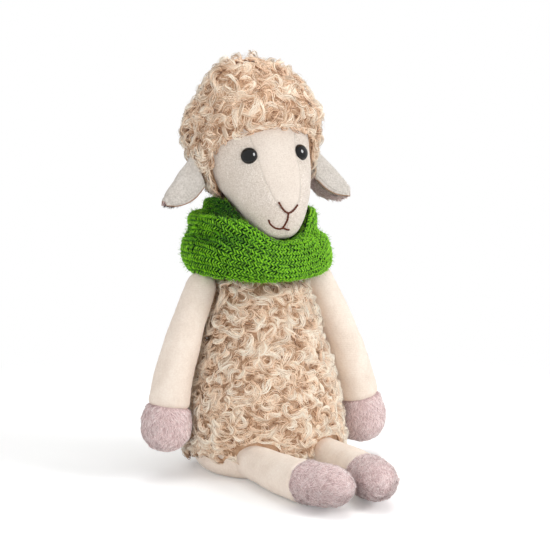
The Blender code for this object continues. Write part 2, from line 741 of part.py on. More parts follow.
make_torso()
neck_joint = joint_at("neck_joint", Vector((0, neck_back, torso_top)))
head_joint = joint_at("head_joint", Vector((0, neck_back, neck_pivot_height)), neck_joint)
scarf_joint = joint_at("scarf_joint", Vector((0, neck_back, scarf_bottom)), neck_joint)
make_neck(neck_joint)
make_head(head_joint)
make_scarf(scarf_joint)
wrist_share = 1 - wrist_rise / (shoulder_height - left_hand_height)
for side, word in ((1, "left"), (-1, "right")):
    ear_joint = joint_at(word + "_ear_joint", ear_root(side), head_joint)
    make_ear(side, word, ear_joint)
    shoulder_joint = joint_at(word + "_shoulder_joint", arm_path(side)(0))
    make_limb(word + "_arm", shoulder_joint, arm_path(side), arm_root_radius, wrist_radius, hand_radius,
              wrist_share, hand_drop, hand_blunt_share)
    hip_joint = joint_at(word + "_hip_joint", leg_path(side)(0))
    make_limb(word + "_leg", hip_joint, leg_path(side), leg_root_radius, leg_radius, foot_radius,
              ankle_share, foot_front - toe_front, foot_blunt_share)
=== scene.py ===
from math import acos, cos, pi, radians, sin

import bmesh
import bpy
import numpy as np
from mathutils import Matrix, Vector
from mathutils.bvhtree import BVHTree


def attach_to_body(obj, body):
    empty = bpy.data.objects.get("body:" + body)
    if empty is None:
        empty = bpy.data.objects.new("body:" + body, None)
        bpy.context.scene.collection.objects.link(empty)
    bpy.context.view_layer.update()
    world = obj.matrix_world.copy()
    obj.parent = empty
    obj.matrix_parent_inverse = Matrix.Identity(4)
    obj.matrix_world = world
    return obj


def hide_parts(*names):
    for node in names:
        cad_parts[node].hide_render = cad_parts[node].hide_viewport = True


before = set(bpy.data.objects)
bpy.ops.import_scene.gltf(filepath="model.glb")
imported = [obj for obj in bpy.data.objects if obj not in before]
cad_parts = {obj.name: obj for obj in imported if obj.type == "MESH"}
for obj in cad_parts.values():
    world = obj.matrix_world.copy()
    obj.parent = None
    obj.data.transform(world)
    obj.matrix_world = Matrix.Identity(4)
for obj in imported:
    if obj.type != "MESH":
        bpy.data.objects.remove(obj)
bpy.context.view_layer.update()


# Small helpers

def paint(red, green, blue):  # a colour as a picture editor shows it, 0 to 255
    def linear(value):
        value /= 255
        return value / 12.92 if value <= 0.04045 else ((value + 0.055) / 1.055) ** 2.4
    return linear(red), linear(green), linear(blue), 1.0


def mix(start, end, share):
    return start + (end - start) * share


def smooth(value, start, end):  # eases from 0 to 1
    t = np.clip((value - start) / (end - start), 0, 1)
    return t * t * (3 - 2 * t)


def unit(vectors):
    return vectors / np.maximum(np.linalg.norm(vectors, axis=-1, keepdims=True), 1e-12)


def curveThrough(rows, column=1):  # a smooth curve through a table's rows, without overshoot
    places = np.array([row[0] for row in rows], float)
    values = np.array([row[column] for row in rows], float)
    steps = np.diff(places)
    rises = np.diff(values) / steps
    slopes = np.concatenate(([rises[0]], np.zeros(len(steps) - 1), [rises[-1]]))
    before, after = rises[:-1], rises[1:]
    same = before * after > 0
    slopes[1:-1][same] = 2 * before[same] * after[same] / (before[same] + after[same])

    def at(place):
        place = np.clip(place, places[0], places[-1])
        k = np.clip(np.searchsorted(places, place, side="right") - 1, 0, len(steps) - 1)
        t = (place - places[k]) / steps[k]
        start = values[k] * (1 + 2 * t) * (1 - t) ** 2 + slopes[k] * steps[k] * t * (1 - t) ** 2
        end = values[k + 1] * t * t * (3 - 2 * t) + slopes[k + 1] * steps[k] * t * t * (t - 1)
        return start + end
    return at


def ripple(points, size, seed):  # soft lumps about this far apart, from -1 to 1
    rng = np.random.default_rng(seed)
    total = np.zeros(points.shape[:-1])
    for k in range(7):
        way = unit(rng.normal(size=3)) * 2 * pi / (size * rng.uniform(0.7, 1.5))
        total += np.sin(points @ way + rng.uniform(0, 2 * pi))
    return total / 4


def circle(count):  # this many turns, evenly spaced
    return np.arange(count) * 2 * pi / count


def turnOf(places, middle=0):  # from the front, which is -Y, round to the left
    return np.arctan2(places[..., 0], middle - places[..., 1])


def sharesAlong(rows):  # how far along its line each point lies, from 0 to 1
    along = np.concatenate(([0], np.cumsum(np.linalg.norm(np.diff(rows, axis=0), axis=1))))
    return along / along[-1]


def gridNormals(grid):  # normals of a closed grid of points, rows along and columns round
    across = np.roll(grid, -1, axis=1) - np.roll(grid, 1, axis=1)
    normals = np.cross(across, np.gradient(grid, axis=0))
    weak = np.linalg.norm(normals, axis=-1) < 1e-14
    normals = unit(normals)
    if weak.any():
        for i, j in zip(*np.where(weak)):
            normals[i, j] = unit(normals[min(max(i, 1), len(grid) - 2)].mean(axis=0))
    return normals


def raised(grid, rise):
    return grid + gridNormals(grid) * rise[..., None]


def gridQuads(grid, around):
    rows, columns = grid.shape[:2]
    count = columns if around else columns - 1
    i, j = np.meshgrid(np.arange(rows - 1), np.arange(count), indexing="ij")
    k = (j + 1) % columns
    return np.stack((i * columns + j, i * columns + k, (i + 1) * columns + k, (i + 1) * columns + j), -1).reshape(-1, 4)


def makeMesh(name, points, quads, material, bakeUv=None, softNormals=None):
    mesh = bpy.data.meshes.new(name)
    mesh.vertices.add(len(points))
    mesh.vertices.foreach_set("co", np.asarray(points, np.float32).ravel())
    mesh.loops.add(len(quads) * 4)
    mesh.loops.foreach_set("vertex_index", np.asarray(quads, np.int32).ravel())
    mesh.polygons.add(len(quads))
    mesh.polygons.foreach_set("loop_start", np.arange(0, len(quads) * 4, 4, dtype=np.int32))
    mesh.update(calc_edges=True)
    if bakeUv is not None:
        layer = mesh.uv_layers.new(name="OFBake")
        layer.data.foreach_set("uv", np.asarray(bakeUv[quads.ravel()], np.float32).ravel())
    mesh.validate()
    mesh.shade_smooth()
    if softNormals is not None:
        mesh.normals_split_custom_set_from_vertices(softNormals.tolist())
    mesh.materials.append(material)
    made = bpy.data.objects.new(name, mesh)
    bpy.context.collection.objects.link(made)
    return made


def attach(piece, body, node=None):  # what it moves with, and the part it stands for, which it hides
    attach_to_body(piece, body)
    if node:
        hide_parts(node)


def weld(piece):  # closes poles and seams
    work = bmesh.new()
    work.from_mesh(piece.data)
    bmesh.ops.remove_doubles(work, verts=work.verts, dist=1e-6)
    bmesh.ops.recalc_face_normals(work, faces=work.faces)
    work.to_mesh(piece.data)
    work.free()
    piece.data.shade_smooth()
    return piece


def joined(parts):  # several lists of points and faces as one
    starts = np.cumsum([0] + [len(points) for points, _ in parts])
    quads = [faces + start for (_, faces), start in zip(parts, starts)]
    return np.concatenate([points for points, _ in parts]), np.concatenate(quads)


def joinGrids(name, grids, material, around=False):  # several grids in one piece
    parts = [(grid.reshape(-1, 3), gridQuads(grid, around)) for grid in grids]
    return weld(makeMesh(name, *joined(parts), material))


def scatter(grid, around, count, rng, spacing=0, density=None):  # random places on a grid's surface
    if around:
        grid = np.concatenate((grid, grid[:, :1]), axis=1)
    a, b, c, d = grid[:-1, :-1], grid[:-1, 1:], grid[1:, 1:], grid[1:, :-1]
    area = np.linalg.norm(np.cross(c - a, d - b), axis=-1).ravel() / 2
    if density is not None:
        area = area * density((a + b + c + d) / 4).ravel()
    picked = rng.choice(len(area), size=count, p=area / area.sum())
    u, v = rng.random((2, count, 1))
    a, b, c, d = (corner.reshape(-1, 3)[picked] for corner in (a, b, c, d))
    places = (a * (1 - u) + b * u) * (1 - v) + (d * (1 - u) + c * u) * v
    along = unit((d - a) * (1 - u) + (c - b) * u)
    normals = unit(np.cross((b - a) * (1 - v) + (c - d) * v, (d - a) * (1 - u) + (c - b) * u))
    if spacing:
        kept = []
        for k in range(count):
            if not kept or np.min(np.sum((places[kept] - places[k]) ** 2, axis=1)) > spacing ** 2:
                kept.append(k)
        places, along, normals = places[kept], along[kept], normals[kept]
    return places, normals, along


def sweepStrands(paths, radii, normals, sides):  # a thin tube along each path
    count, steps = paths.shape[:2]
    ahead = unit(np.gradient(paths, axis=1))
    side = unit(np.cross(ahead, normals))
    other = np.cross(side, ahead)
    angles = circle(sides)
    ring = side[:, :, None] * np.cos(angles)[None, None, :, None] + other[:, :, None] * np.sin(angles)[None, None, :, None]
    points = paths[:, :, None] + ring * radii[:, :, None, None]
    j = np.arange(sides)
    k = (j + 1) % sides
    start = np.arange(steps - 1)[:, None] * sides
    quads = np.stack((start + j, start + k, start + k + sides, start + j + sides), -1).reshape(-1, 4)
    quads = (np.arange(count)[:, None, None] * steps * sides + quads).reshape(-1, 4)
    return points.reshape(-1, 3), quads[:, ::-1]


def strandNormals(points, paths, outward, own=0.35):  # strands take light mostly as the surface they lie on does
    ring = unit(points.reshape(*paths.shape[:2], -1, 3) - paths[:, :, None])
    return unit(ring * own + outward[:, :, None] * (1 - own)).reshape(-1, 3)


# Materials

def newMaterial(name, colour, roughness, specular=0.25, sheen=0.0):
    made = bpy.data.materials.new(name)
    made.use_nodes = True
    made.diffuse_color = paint(*colour)
    shader = made.node_tree.nodes["Principled BSDF"]
    shader.inputs["Base Color"].default_value = paint(*colour)
    shader.inputs["Roughness"].default_value = roughness
    shader.inputs["Specular IOR Level"].default_value = specular
    shader.inputs["Sheen Weight"].default_value = sheen
    shader.inputs["Sheen Roughness"].default_value = 0.5
    return made, made.node_tree, shader


def feed(tree, socket, value):  # with a value, or with the output of another node
    if isinstance(value, bpy.types.NodeSocket):
        tree.links.new(value, socket)
    else:
        socket.default_value = value


def addNode(tree, kind, *sources, **values):  # sources go to its inputs in order, values to what they name
    node = tree.nodes.new(kind)
    for socket, value in zip(node.inputs, sources):
        feed(tree, socket, value)
    for key, value in values.items():
        if key in node.inputs:
            feed(tree, node.inputs[key], value)
        else:
            setattr(node, key, value)
    return node


def addRamp(tree, source, stops):
    ramp = addNode(tree, "ShaderNodeValToRGB", source)
    bands = ramp.color_ramp.elements
    while len(bands) < len(stops):
        bands.new(0.5)
    for band, (place, colour) in zip(bands, stops):
        band.position = place
        band.color = paint(*colour)
    return ramp.outputs["Color"]


# Short pile: soft patches, fine grain and a faint weave
def velourMaterial(name, tones, spread=0.16, nap=0.35, patchy=0.45, fine=900.0):
    made, tree, shader = newMaterial(name, tones[1], 0.85, sheen=0.15)
    place = addNode(tree, "ShaderNodeTexCoord").outputs["Object"]
    patches = addNode(tree, "ShaderNodeTexNoise", Vector=place, Scale=95.0, Detail=3.0, Roughness=0.6)
    grain = addNode(tree, "ShaderNodeTexNoise", Vector=place, Scale=fine, Detail=4.0, Roughness=0.65)
    weave = addNode(tree, "ShaderNodeTexWave", wave_type="BANDS", bands_direction="Z", Vector=place, Scale=260.0, Distortion=1.4)
    soft = addNode(tree, "ShaderNodeMath", patches.outputs["Fac"], patchy, operation="MULTIPLY")
    blend = addNode(tree, "ShaderNodeMath", grain.outputs["Fac"], 1 - patchy, soft.outputs[0], operation="MULTIPLY_ADD")
    colour = addRamp(tree, blend.outputs[0], ((0.50 - spread, tones[0]), (0.50, tones[1]), (0.50 + spread, tones[2])))
    pile = addNode(tree, "ShaderNodeBump", Strength=nap, Distance=0.0004, Height=grain.outputs["Fac"])
    threads = addNode(tree, "ShaderNodeBump", Strength=0.10, Distance=0.0003, Height=weave.outputs["Fac"],
                      Normal=pile.outputs["Normal"])
    feed(tree, shader.inputs["Base Color"], colour)
    feed(tree, shader.inputs["Normal"], threads.outputs["Normal"])
    return made


def strandMaterial(name, depthShadeTones, strandTones, roughness=0.75):  # painted shade: dark deep between the strands, pale on top; times each strand's own tone
    made, tree, shader = newMaterial(name, depthShadeTones[len(depthShadeTones) // 2][1], roughness, sheen=0.1)
    uv = addNode(tree, "ShaderNodeUVMap", uv_map="OFBake")
    parts = addNode(tree, "ShaderNodeSeparateXYZ", uv.outputs["UV"])
    depth = addRamp(tree, parts.outputs["Y"], depthShadeTones)
    own = addRamp(tree, parts.outputs["X"], strandTones)
    tint = addNode(tree, "ShaderNodeMix", data_type="RGBA", blend_type="MULTIPLY", Factor=1.0, A=depth, B=own)
    feed(tree, shader.inputs["Base Color"], tint.outputs["Result"])
    return made


def backingMaterial(name, tones, size):  # what shows between strands; the fleece, plush and scarf tones are darker than their strands, as painted shade in the gaps
    made, tree, shader = newMaterial(name, tones[0], 0.95)
    place = addNode(tree, "ShaderNodeTexCoord").outputs["Object"]
    lumps = addNode(tree, "ShaderNodeTexNoise", Vector=place, Scale=1 / size, Detail=4.0, Roughness=0.6)
    bump = addNode(tree, "ShaderNodeBump", Strength=0.8, Distance=0.001, Height=lumps.outputs["Fac"])
    feed(tree, shader.inputs["Base Color"], addRamp(tree, lumps.outputs["Fac"], ((0.35, tones[0]), (0.65, tones[1]))))
    feed(tree, shader.inputs["Normal"], bump.outputs["Normal"])
    return made


velour = velourMaterial("cream velour", ((226, 210, 195), (235, 220, 206), (241, 229, 216)))
faceVelour = velourMaterial("face velour", ((208, 194, 182), (219, 207, 195), (228, 217, 206)), patchy=0.2, fine=1200.0)
cheekVelour = velourMaterial("cheek velour", ((196, 182, 168), (217, 205, 193), (236, 227, 218)), 0.16, 0.8, 0.15, 1250.0)
earVelour = velourMaterial("ear velour", ((174, 167, 159), (197, 190, 182), (213, 207, 200)), 0.15, 0.7, 0.3)
# In each strand material the first ramp is painted shade, from dark deep between the strands to pale on top.
curlMaterial = strandMaterial(
    "curled fleece",
    ((0.0, (108, 64, 36)), (0.20, (190, 148, 114)), (0.40, (250, 221, 193)), (0.9, (255, 247, 233))),
    ((0.0, (184, 158, 136)), (0.4, (243, 235, 228)), (0.75, (255, 254, 251))))
# painted shade: the fleece backing is coloured like the shade deep between the strands
fleeceBacking = backingMaterial("fleece backing", ((178, 140, 108), (206, 172, 142)), 0.003)
plushMaterial = strandMaterial(
    "mauve plush",
    ((0.0, (176, 146, 146)), (0.40, (240, 216, 214)), (1.0, (255, 250, 248))),
    ((0.0, (200, 182, 182)), (0.5, (248, 243, 243)), (1.0, (255, 255, 255))))
# painted shade: the plush backing is darker than the pile, as shade under the hairs
plushBacking = backingMaterial("plush backing", ((198, 168, 166), (216, 190, 188)), 0.002)
yarnMaterial = strandMaterial(
    "green yarn",
    ((0.0, (4, 34, 0)), (0.38, (36, 98, 0)), (0.75, (104, 180, 8)), (1.0, (170, 232, 50))),
    ((0.0, (170, 184, 150)), (0.5, (232, 240, 224)), (1.0, (255, 255, 246))), roughness=0.8)
# painted shade: the scarf's inside is dark green, as the shade between the stitches
knitBacking = backingMaterial("scarf inside", ((8, 34, 2), (20, 62, 6)), 0.0025)
threadMaterial = newMaterial("brown thread", (88, 40, 20), 0.6)[0]
# painted shade: a brown for the dark line of shade along the ears' rims
earEdgeShade = newMaterial("ear edge shade line", (150, 112, 86), 0.8)[0]
eyeMaterial = newMaterial("black plastic", (6, 5, 4), 0.09, specular=0.36)[0]
print("materials made")


# Head: the same surface as the stuffed head, by the turn from the front and a level from chin to crown

head = {
    "bottom": 0.1398, "height": 0.0975, "width": 0.066, "length": 0.0805, "front": -0.0295,
    "outlineShares": (
        (0.0000, 0.000, 0.155, 0.155), (0.0150, 0.240, 0.088, 0.240), (0.0440, 0.365, 0.055, 0.305),
        (0.0940, 0.485, 0.030, 0.405), (0.1530, 0.590, 0.008, 0.540), (0.2220, 0.700, 0.000, 0.695),
        (0.3000, 0.810, 0.030, 0.820), (0.3990, 0.915, 0.095, 0.913), (0.5070, 0.985, 0.172, 0.972),
        (0.6160, 1.010, 0.235, 1.000), (0.7340, 0.970, 0.310, 0.988), (0.8520, 0.810, 0.385, 0.885),
        (0.9310, 0.590, 0.455, 0.780), (0.9850, 0.295, 0.525, 0.675), (1.0000, 0.000, 0.595, 0.595)),
    "hairline": 0.2060, "nape": 0.1600, "capRise": 0.0070,
    "hairlineShares": (
        (0.00, 1.00), (0.13, 0.97), (0.24, 0.90), (0.35, 0.76), (0.43, 0.58), (0.49, 0.40),
        (0.56, 0.23), (0.68, 0.08), (0.85, 0.00), (1.00, 0.00)),
    "nose": 0.1564, "panelHalfWidth": 0.0160,
    "panelShares": ((0.00, 0.000), (0.10, 0.380), (0.20, 0.560), (0.45, 0.740), (0.62, 0.790), (1.00, 1.000)),
    "seamDepth": 0.00030, "seamWidth": 0.0008, "seamGap": 0.00004,
}
headRows = [(acos(1 - 2 * row[0]) / pi, *row[1:]) for row in head["outlineShares"]]
headWidthShare, headFrontShare, headBackShare = (curveThrough(headRows, column) for column in (1, 2, 3))
hairlineShare = curveThrough(head["hairlineShares"])
panelShare = curveThrough(head["panelShares"])


def headLevel(height):
    return np.arccos(np.clip(1 - 2 * (height - head["bottom"]) / head["height"], -1, 1)) / pi


def headPlace(turn, level):
    front = head["front"] + head["length"] * headFrontShare(level)
    back = head["front"] + head["length"] * headBackShare(level)
    halfWidth = head["width"] / 2 * headWidthShare(level)
    height = head["bottom"] + head["height"] * (1 - np.cos(pi * level)) / 2
    return np.stack((halfWidth * np.sin(turn), (front + back) / 2 - (back - front) / 2 * np.cos(turn),
                     height + 0 * turn), -1)


def headNormal(turn, level):
    small = 0.01
    around = headPlace(turn + small, level) - headPlace(turn - small, level)
    upward = headPlace(turn, np.minimum(level + small, 1)) - headPlace(turn, np.maximum(level - small, 0))
    normal = np.cross(around, upward)
    flat = np.linalg.norm(normal, axis=-1) < 1e-12
    normal = unit(normal)
    normal[flat] = (0, 0, 1)
    normal[flat & (level < 0.5)] = (0, 0, -1)
    return normal


def headSkin(turn, level, lift):
    turn, level = np.broadcast_arrays(turn, level)
    return headPlace(turn, level) + headNormal(turn, level) * np.asarray(lift)[..., None]


def hairlineLevel(turn):
    apart = np.abs((turn + pi) % (2 * pi) - pi)
    return headLevel(mix(head["nape"], head["hairline"], hairlineShare(apart / pi)))


def panelTurn(level):
    height = head["bottom"] + head["height"] * (1 - np.cos(pi * level)) / 2
    share = (height - head["nose"]) / (head["hairline"] - head["nose"])
    halfWidth = head["width"] / 2 * np.maximum(headWidthShare(level), 0.05)
    across = head["panelHalfWidth"] * panelShare(share)
    return np.where(share > 0, np.arcsin(np.clip(across / halfWidth, 0, 1)), 0)


def edgeSpaced(count):  # steps from 0 to 1, closer together at both ends
    t = np.linspace(0, 1, count)
    return mix(t, (1 - np.cos(pi * t)) / 2, 0.75)


def seamDip(distance):  # how far cloth rolls in toward a seam this far away
    return -head["seamDepth"] * np.exp(-(np.maximum(distance, 0) / head["seamWidth"]) ** 1.3)


def makeMiddlePanel():
    up, across = np.meshgrid(edgeSpaced(90), edgeSpaced(56) * 2 - 1, indexing="ij")
    turn = 0 * up
    for _ in range(8):
        level = mix(headLevel(head["nose"]), hairlineLevel(turn), up)
        halfWidth = head["width"] / 2 * headWidthShare(level)
        turn = across * np.maximum(panelTurn(level) - head["seamGap"] / halfWidth, 0)
    fromSeam = (panelTurn(level) - np.abs(turn)) * halfWidth
    lift = seamDip(fromSeam) + 0.00012 * ripple(headPlace(turn, level), 0.012, 3)
    piece = joinGrids("face_middle_panel", [headSkin(turn, level, lift)], faceVelour)
    attach(piece, "head", "face_gusset")


def makeCheek(side, word):
    up, across = np.meshgrid(np.linspace(0, 1, 110), edgeSpaced(110), indexing="ij")
    turn = pi * across
    for _ in range(8):
        level = up * hairlineLevel(turn)
        halfWidth = head["width"] / 2 * np.maximum(headWidthShare(level), 0.08)
        seam = head["seamGap"] / halfWidth
        turn = mix(panelTurn(level) + seam, pi - seam, across)
    fromSeam = np.minimum(turn - panelTurn(level), pi - turn) * halfWidth
    lift = seamDip(fromSeam) + 0.00015 * ripple(headPlace(side * turn, level), 0.012, 5 + side)
    piece = joinGrids(word + "_cheek_velour", [headSkin(side * turn, level, lift)], cheekVelour)
    attach(piece, "head", word + "_cheek")


makeMiddlePanel()
for side, word in ((1, "left"), (-1, "right")):
    makeCheek(side, word)
print("face made")


# Eyes

eyes = {"height": 0.1888, "spread": 0.0168, "radius": 0.0049, "dome": 0.0037, "sink": 0.0003}


def makeEye(side, word):
    level = headLevel(eyes["height"])
    halfWidth = head["width"] / 2 * headWidthShare(level)
    turn = np.array(side * np.arcsin(eyes["spread"] / halfWidth))
    level = np.array(level)
    place, axis = headPlace(turn, level), headNormal(turn[None], level[None])[0]
    guide = unit(np.cross((0, 0, 1), axis))
    other = np.cross(axis, guide)
    rise = np.linspace(0, pi / 2, 20)
    around = circle(48)
    out = np.concatenate(([0.86], np.cos(rise) ** 0.9))
    high = np.concatenate(([-0.0010], eyes["dome"] * np.sin(rise))) - eyes["sink"]
    grid = (place + axis * high[:, None, None]
            + eyes["radius"] * out[:, None, None] * (guide * np.cos(around)[:, None] + other * np.sin(around)[:, None]))
    piece = joinGrids(word + "_eye_dome", [grid], eyeMaterial, True)
    attach(piece, "head", word + "_eye")


for side, word in ((1, "left"), (-1, "right")):
    makeEye(side, word)
print("eyes made")


# Nose and mouth, stitched in thread. Each place is across and up on the face.

stitches = {
    "radius": 0.00056,
    "lines": {
        "nose_stitches": (((-0.0062, 0.1634), (-0.0043, 0.1600), (-0.0024, 0.1578), (-0.0004, 0.1566)),
                          ((0.0060, 0.1612), (0.0040, 0.1590), (0.0018, 0.1573), (-0.0004, 0.1566))),
        "mouth_stitches": (((-0.0004, 0.1566), (-0.0004, 0.1540), (-0.0012, 0.1508), (-0.0026, 0.1478)),
                           ((-0.0108, 0.1530), (-0.0098, 0.1506), (-0.0082, 0.1489), (-0.0062, 0.1477), (-0.0043, 0.1473),
                            (-0.0026, 0.1478)),
                           ((-0.0026, 0.1478), (-0.0010, 0.1472), (0.0004, 0.1466), (0.0018, 0.1464)))},
}


def facePoint(across, height):  # on the front of the head
    level = headLevel(height)
    halfWidth = head["width"] / 2 * headWidthShare(level)
    turn = np.arcsin(np.clip(across / halfWidth, -1, 1))
    return headPlace(turn, level), headNormal(np.atleast_1d(turn), np.atleast_1d(level))[0]


def makeStitches(name, lines):
    tubes = []
    for line in lines:
        rows = np.array(line)
        along = sharesAlong(rows)
        acrossAt, heightAt = (curveThrough(list(zip(along, rows[:, k]))) for k in (0, 1))
        steps = np.linspace(0, 1, 34)
        spots = [facePoint(acrossAt(t), heightAt(t)) for t in steps]
        normals = np.array([normal for _, normal in spots])
        path = np.array([place for place, _ in spots]) + normals * stitches["radius"] * 0.45
        beat = np.abs(np.sin(steps * pi * max(2, round(len(line) * 1.6))))
        radii = stitches["radius"] * (0.72 + 0.38 * beat ** 0.6)
        radii[[0, -1]] *= 0.5
        tubes.append(sweepStrands(path[None], radii[None], normals[None], 8))
    piece = makeMesh(name, *joined(tubes), threadMaterial)
    attach(piece, "head")


for name, lines in stitches["lines"].items():
    makeStitches(name, lines)
print("nose and mouth made")


# Limbs: velour sleeves that end in plush hooves

arm = {"shoulderHeight": 0.1075, "shoulderSpread": 0.03936, "shoulderBack": 0.0095, "rootRadius": 0.0092,
       "wristRadius": 0.0122, "wristRise": 0.0130, "handRadius": 0.0143, "handSpread": 0.0643, "handFront": 0.0018,
       "handHeights": {"left": 0.0235, "right": 0.0308}, "handDrop": 0.0143, "bow": 1.50, "roundness": 0.85}
leg = {"hipFront": -0.0205, "hipSpread": 0.0225, "hipHeight": 0.0118, "rootRadius": 0.0100, "radius": 0.0122,
       "ankleFront": -0.0890, "footFront": -0.1060, "footSpread": 0.0158, "footHeight": 0.0148, "footRadius": 0.0118,
       "toeFront": -0.1262, "bow": 3.0, "roundness": 0.7}
limb = {"around": 64, "rollWidth": 0.0010, "cuffRoll": 0.0012, "hoofRoll": 0.0008, "hoofInset": 0.0005,
        "crease": 0.0007, "creaseWidth": 0.13, "wrinkles": ((0.00028, 0.016), (0.00010, 0.005)), "hoofLumps": (0.0003, 0.009),
        "armRootCap": (1.16, 0.52), "legRootCap": (1.0, 0.72)}
limbSwell = curveThrough(((0.00, 0.00), (0.30, 0.30), (0.65, 0.70), (1.00, 1.00)))
cuffSwell = curveThrough(((0.00, 0.00), (0.40, 0.62), (0.80, 0.97), (1.00, 1.00)))


def armPath(side, word):
    def path(share):
        up = 1 - share
        bow = np.maximum(up, 0) ** arm["bow"]
        return np.stack((side * mix(arm["handSpread"], arm["shoulderSpread"], bow),
                         mix(arm["handFront"], arm["shoulderBack"], bow),
                         mix(arm["handHeights"][word], arm["shoulderHeight"], up)), -1)
    return path


def legPath(side):
    def path(share):
        bow = np.maximum(share, 0) ** leg["bow"]
        return np.stack((side * mix(leg["hipSpread"], leg["footSpread"], bow), mix(leg["hipFront"], leg["footFront"], share),
                         mix(leg["hipHeight"], leg["footHeight"], bow)), -1)
    return path


def limbGrid(path, shares, radii, around):  # rings square to the path
    ahead = unit(path(shares + 0.004) - path(shares - 0.004))
    guide = np.where((np.abs(ahead[:, 1]) < np.abs(ahead[:, 2]))[:, None], (0, 1, 0), (0, 0, 1)).astype(float)
    side = unit(np.cross(guide, ahead))
    other = np.cross(ahead, side)
    ring = side[:, None] * np.sin(around)[None, :, None] + other[:, None] * np.cos(around)[None, :, None]
    return path(shares)[:, None] + ring * radii[:, None, None], ahead


def makeLimb(name, path, rootRadius, cuffRadius, endRadius, cuffShare, endCap, roundness, seed):
    around = circle(limb["around"])
    length = np.linalg.norm(path(np.array([1.0])) - path(np.array([0.0])))
    inset, rollWidth = limb["hoofInset"], limb["rollWidth"]

    def radiusAt(share):
        return np.where(share <= cuffShare, mix(rootRadius, cuffRadius, limbSwell(share / cuffShare)),
                        mix(cuffRadius, endRadius, cuffSwell((share - cuffShare) / (1 - cuffShare))))

    def capRings(share, capLength, sign, power, count, inset=0):
        angles = np.linspace(0, pi / 2, count)[1:]
        radii = (radiusAt(share) - inset) * np.cos(angles) ** power
        rings, ahead = limbGrid(path, np.full(len(angles), share), radii, around)
        return rings + sign * ahead[:, None] * ((capLength - inset) * np.sin(angles))[:, None, None]

    # the sleeve, rolled in at the cuff
    shares = np.linspace(0, cuffShare, 70)
    radii = radiusAt(shares) - limb["cuffRoll"] * np.exp(-((cuffShare - shares) * length / rollWidth) ** 1.4)
    capLength, power = limb["armRootCap" if name.endswith("arm") else "legRootCap"]
    start = capRings(0.0, rootRadius * capLength, -1, power, 14)
    sleeve = np.concatenate((start[::-1], limbGrid(path, shares, radii, around)[0]))
    sleeve = raised(sleeve, sum(rise * ripple(sleeve, size, seed + k) for k, (rise, size) in enumerate(limb["wrinkles"])))
    piece = joinGrids(name + "_velour", [sleeve], velour, True)
    attach(piece, name, name + "_sleeve")

    # the hoof's backing, creased along both sides
    shares = np.linspace(cuffShare, 1, 30)
    radii = radiusAt(shares) - inset - limb["hoofRoll"] * np.exp(-((shares - cuffShare) * length / rollWidth) ** 1.4)
    hoof = np.concatenate((limbGrid(path, shares, radii, around)[0], capRings(1.0, endCap, 1, roundness, 22, inset)))
    sideCrease = limb["crease"] * np.exp(-(np.cos(around) / limb["creaseWidth"]) ** 2)
    normals = gridNormals(hoof)
    fade = np.sin(pi * np.clip(np.linspace(0, 1, len(hoof)), 0, 0.9) / 0.9) ** 0.5
    hoof = hoof - normals * (sideCrease[None, :] * fade[:, None])[..., None]
    lumpRise, lumpSize = limb["hoofLumps"]
    hoof += normals * (lumpRise * ripple(hoof, lumpSize, seed + 2))[..., None]
    piece = joinGrids(name + "_hoof_backing", [hoof], plushBacking, True)
    attach(piece, name, name + "_hoof")
    return hoof


hooves = {}
wristShare = 1 - arm["wristRise"] / (arm["shoulderHeight"] - arm["handHeights"]["left"])
ankleShare = (leg["hipFront"] - leg["ankleFront"]) / (leg["hipFront"] - leg["footFront"])
for side, word in ((1, "left"), (-1, "right")):
    hooves[word + "_arm"] = makeLimb(word + "_arm", armPath(side, word), arm["rootRadius"], arm["wristRadius"],
                                     arm["handRadius"], wristShare, arm["handDrop"], arm["roundness"], 20 + side)
    hooves[word + "_leg"] = makeLimb(word + "_leg", legPath(side), leg["rootRadius"], leg["radius"], leg["footRadius"],
                                     ankleShare, leg["footFront"] - leg["toeFront"], leg["roundness"], 40 + side)
print("limbs made")


# Plush pile: short hairs combed toward the end of the hoof, with a swirl

pile = {"hairs": 9500, "length": 0.0036, "radius": 0.00018, "lean": 0.24, "swirl": 0.9, "combed": 1.0,
        "seeds": {"left_arm": 70, "left_leg": 69, "right_arm": 74, "right_leg": 73}}


def facing(grid, away):  # the grid, turned so that its normals point away
    up = np.cross(grid[:-1, 1:] - grid[:-1, :-1], grid[1:, :-1] - grid[:-1, :-1])
    return grid if np.sum(up * away[:-1, :-1]) > 0 else grid[:, ::-1]


